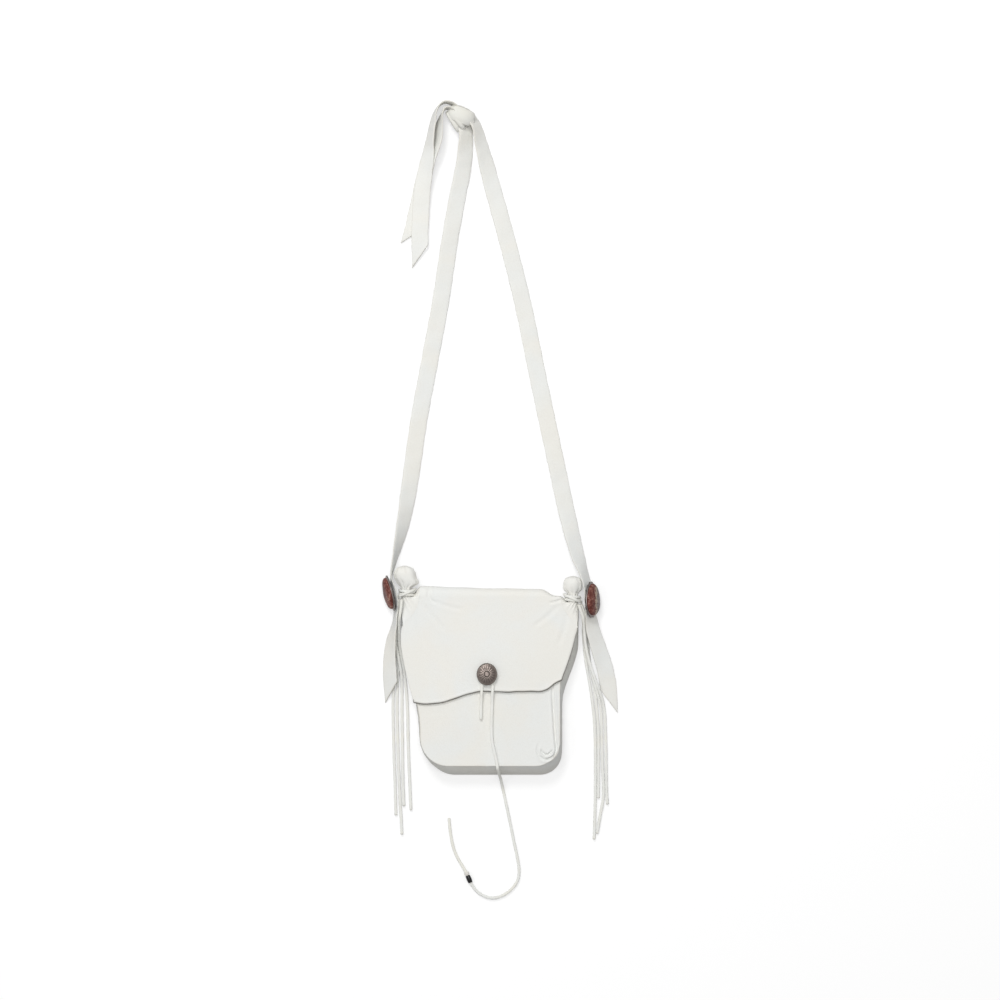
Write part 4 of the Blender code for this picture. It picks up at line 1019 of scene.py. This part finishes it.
# The straps' two ends leave the knot together, turn over its shoulder and hang back down beside it. They are
# the same strips, cut to points. The long one lies over the short one.
strap(
    "strap_end_long",
    [(-36, 681.4, 4.8, 96), (-41.4, 687.8, 7.8, 96), (-47.6, 691.4, 94), (-54.4, 692.2, 91)]
    + [(-60.6, 688.8, 86), (-64.8, 682.2, 81), (-68.6, 666.7, 70), (-72.0, 646, 60)]
    + [(-73.4, 635.7, 52), (-74.8, 625.3, 9.8, 40), (-78.4, 604.7, 7.6, 22), (-81.3, 584, 5.4, 8)]
    + [(-83.1, 556.4, 3.9, 2), (-84, 528.9, 3.6, 0), (-83.8, 514, 3.2, 6)],
    (20, -8),
    "knot_tail_long",
)
strap(
    "strap_end_short",
    [(-38, 675.6, 5.0, 96), (-43.6, 681.2, 7.6, 96), (-48.8, 685.2, 94), (-54, 684.6, 90)]
    + [(-57, 679.4, 86), (-60.4, 666.7, 66), (-63.1, 646, 57), (-66.8, 635.7, 54)]
    + [(-71.2, 625.3, 48), (-78.5, 604.7, 22), (-82.8, 584, 6), (-87.2, 563.3, 0)]
    + [(-92, 542.6, 0), (-94.5, 533, 0)],
    (12, -10),
    "knot_tail_short",
)


# The knot is a plain overhand knot of both straps, pulled tight: a soft lump with one broad fold of strap
# drawn over it and three narrow ones beside that. Its hide is drawn a little greyer, with dark cut edges, as
# painted shade for the shadowed folds and gaps of the knot.
KNOT = (-35 * MM, 674.8 * MM, 8.6 * MM)
knot_shade_look = {"warmth": 0.6, "tone": 0.93, "edge_tone_and_shade": (0.22, 0.2, 0.175), "edge_tone_and_shade_share": 0.85}
knot_shaded_hide = deerskin("knotted_strap", follows_cut=True, **knot_shade_look)


def knot_lump():
    """A rounded lump: rings from pole to pole, with three slanting ridges and finer crumples between."""
    polar = np.linspace(0.06, np.pi - 0.06, 90)[:, None]
    a = angles(130)[None, :]
    ridges = 0.07 * np.cos(3 * a + 2.2 * np.cos(polar)) + 0.03 * np.abs(np.sin(4 * a + 3 * polar))
    reach = 13.2 * MM * np.sin(polar) ** 0.85 * (1 + ridges * np.sin(polar))
    height = 8.4 * MM * (1 - np.cos(polar)) + 0.4 * MM
    return np.dstack((KNOT[0] + reach * np.cos(a), KNOT[1] + reach * np.sin(a), height + 0 * a))


def knot_wrap(heading, sweep, reach, rise, half_wide, shift, crown):
    """A fold of strap laid over the lump: a crowned strip carried on an arc of an ellipse that stands on the
    heading, in degrees. Its edges are drawn in towards both ends, where it tucks away."""
    count = 80
    t = np.linspace(0, 1, count)
    turn = np.radians(sweep[0] + (sweep[1] - sweep[0]) * t)
    heading = math.radians(heading)
    way = np.array((math.cos(heading), math.sin(heading), 0.0))
    sideways = np.array((-way[1], way[0], 0.0))
    up = (0, 0, 1.0)
    middle = np.array(KNOT) + sideways * shift
    path = middle + np.outer(reach * np.sin(turn), way) + np.outer(rise * np.cos(turn), up)
    outward = np.outer(np.sin(turn) / reach, way) + np.outer(np.cos(turn) / rise, up)
    a = angles(48)
    draw = (0.72 + 0.28 * np.sin(np.pi * t) ** 0.8)[:, None]
    wide = draw * half_wide * squared(np.cos(a), 0.6)[None]
    crumple = 0.42 * MM * np.sin(wide / (1.5 * MM) + 2 * wandering(count, 1.5, 11)[:, None]) * (1.1 - draw**2)
    thick = (1.2 * MM * squared(np.sin(a), 0.7))[None] + crown * (0.4 - (wide / half_wide) ** 2) + crumple
    return carried(path, outward, np.dstack((wide, thick)))


lump = closed_loft("knot_lump", knot_lump(), knot_shaded_hide, "pouch", cap_edge=False)
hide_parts("strap_knot")
for name, heading, sweep, *sizes in (
    ("knot_fold_under", -59, (-104, 104), 12.8, 5.6, 3.4, -10.6, 0.9),
    ("knot_fold_middle", -52, (-104, 100), 13.0, 8.2, 3.6, -5.6, 1.3),
    ("knot_fold_right", -72, (-18, 112), 12.6, 5.4, 3.2, 10.4, 1.0),
    ("knot_fold_over", -22, (-102, 104), 14.8, 9.2, 9.7, 1.2, 2.6),
):
    rings = knot_wrap(heading, sweep, *np.array(sizes) * MM)
    fold = closed_loft(name, rings, knot_shaded_hide, "pouch")
    # Painted shade: the folds' sides are darkened towards the knot's dark edge colour.
    side_tone_and_shade = np.abs(np.cos(angles(rings.shape[1]))) ** 14
    mark_points(fold.data, "edge", np.append(np.tile(side_tone_and_shade, len(rings)), (1.0, 1.0)))


# The button is a domed silver disc on a post, struck with radial flutes round a plain boss and a beaded rim.
# It has darkened in the hollows. It stands on the flap and tilts with it.
def button_rings():
    """A turned profile of (radius, height). The flutes are a cosine of 18 times the angle, strongest half way
    out, and the rim's beads are the absolute value of a sine."""
    stand, rim = 4.15, 13.5
    profile = [(2.2, 0.0), (2.2, 2.0), (2.2, stand - 0.3), (2.6, stand), (8, stand), (12.8, stand)]
    profile += [(13.4, stand + 0.35), (rim, stand + 1.0), (13.1, stand + 1.7)]
    profile += [(rim * math.cos(k), stand + 1.0 + 4.6 * math.sin(k)) for k in np.linspace(0.42, 1.46, 9)]
    steps = smooth_line([(r * MM, h * MM, 0.0) for r, h in [*profile, (0.1, stand + 5.6)]], count=150)
    r, h = steps[:, 0, None], steps[:, 1, None]
    a = angles(216)[None, :]
    top = np.clip((h - (stand + 1.6) * MM) / (0.5 * MM), 0, 1)
    flutes = np.exp(-(((r - 7.6 * MM) / (3.0 * MM)) ** 2)) * np.cos(18 * a)
    beads = np.exp(-(((r - 12.2 * MM) / (0.7 * MM)) ** 2)) * np.abs(np.sin(24 * a))
    collar = np.exp(-(((r - 3.4 * MM) / (0.5 * MM)) ** 2))
    relief = top * (0.13 * flutes + 0.3 * beads - 0.25 * collar)
    worn = np.clip(0.62 + 0.3 * flutes + 0.35 * beads - 0.7 * collar + 0 * r, 0, 1) * (0.35 + 0.65 * top)
    return np.dstack((0.9 * r * np.cos(a), 0.97 * r * np.sin(a), h + relief * MM)), worn


BUTTON = (-3.6, 8.4)
button_x, button_y = BUTTON[0] * MM, BUTTON[1] * MM
button_flat, button_worn = button_rings()
tilt_back = math.atan(DEPTH_GAIN / (MOUTH_Y - FRONT_FOOT_Y))
turn = np.array(Matrix.Rotation(-tilt_back, 3, "X"))
flap_below = float(flap_top(button_x, button_y) - slack(button_x, button_y))
button_rest = button_flat @ turn.T + np.array((button_x, button_y, flap_below + 0.45 * MM))
old_silver = aged_metal("old_silver", rgb(0.31, 0.26, 0.235), rgb(0.06, 0.05, 0.045))
button = closed_loft("silver_disc", button_rest, old_silver, "flap", cap_edge=False)
mark_points(button.data, "worn", np.append(button_worn, (0.2, 0.8)))
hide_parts("silver_button")


# The tie lace goes round the button's post. Its short end hangs a little way below the flap, and its long end
# runs off the pouch and curls back on the floor, with a black barrel bead and a small pale one on it.
def resting(top, x, y, lift):
    """A point of the lace, in mm, where it lies on a surface, or a little above."""
    return (x, y, float(top(x * MM, y * MM)) / MM + LACE_GAP + LACE_REST + lift)


def on_flap(x, y, lift=0.0):
    return resting(flap_top, x, y, lift)


def on_front(x, y, lift=0.0):
    return resting(front_top, x, y, lift)


def round_post(degrees):
    """A point of the lace where it goes round the post."""
    turn, reach = math.radians(degrees), 5.7
    return on_flap(BUTTON[0] + reach * math.cos(turn), BUTTON[1] + reach * math.sin(turn))


long_route = [round_post(115), round_post(70), round_post(25), on_flap(2.6, 0), on_flap(3.2, -7)]
long_route += [on_flap(3.0, -12.6, 0.7), on_front(2.8, -18, 1.5), on_front(2.7, -26), on_front(2.2, -38)]
long_route += [on_front(1.8, -54), on_front(3.2, -74.4), on_front(6, -86.4), on_front(8.4, -98)]
long_route += [(9.0, -102.4, 32.2), (10.6, -109.5, 24), (12.8, -118, 10), (15.6, -131), (19.2, -147.6)]
long_route += [(24, -170.4), (28.8, -194.4), (33, -214), (34.8, -227), (33.4, -239.4), (27.4, -249)]
long_route += [(18, -256.8), (5, -261.4), (-7.6, -258.8), (-18, -250.6, 2.3), (-23.4, -242.4, 3.2)]
long_route += [(-28.0, -231.6, 3.2), (-32, -224.6, 2.4), (-38.4, -214), (-43.6, -201.6), (-47, -186)]
long_route += [(-49.2, -165.6)]
short_route = [on_flap(-8.9, 3.0), on_flap(-9.6, -4), on_flap(-9.7, -9), on_flap(-9.8, -14, 0.6)]
short_route += [on_front(-10, -19.5, 1.2), on_front(-10.3, -27), on_front(-10.6, -36), on_front(-10.8, -45.6)]
for label, route, companions, seed in (
    ("long", long_route, ["bead_black", "bead_white"], 71),
    ("short", short_route, [], 77),
):
    path = smooth_line(laid(route), step=1.2 * MM)
    halves = {"half_wide": 1.68 * MM, "half_thick": 1.45 * MM}
    tie = lace(f"tie_{label}", path, upward_for(path), seed, body="flap", **halves)
    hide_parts(f"tie_lace_{label}")


def glazed(name, colour, roughness, speck):
    """A smooth glazed or polished bead with faint specks and small dents."""
    glaze = Finish(name, colour[:3])
    cloud = glaze.noise(glaze.own_place(), 900.0, 4.0, 0.6)
    return glaze.coated(0.25, 0.1 * MM, cloud, {
        "Base Color": glaze.mixed(cloud.between(0.45, 0.7), colour, speck),
        "Roughness": roughness + 0.15 * cloud,
        "Specular IOR Level": 0.3,
    })


for bead, finish in (
    ("bead_black", glazed("black_bead", rgb(0.012, 0.012, 0.014), 0.16, rgb(0.03, 0.028, 0.026))),
    ("bead_white", glazed("silver_bead", rgb(0.74, 0.72, 0.68), 0.3, rgb(0.55, 0.52, 0.48))),
):
    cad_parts[bead].material_slots[0].material = finish
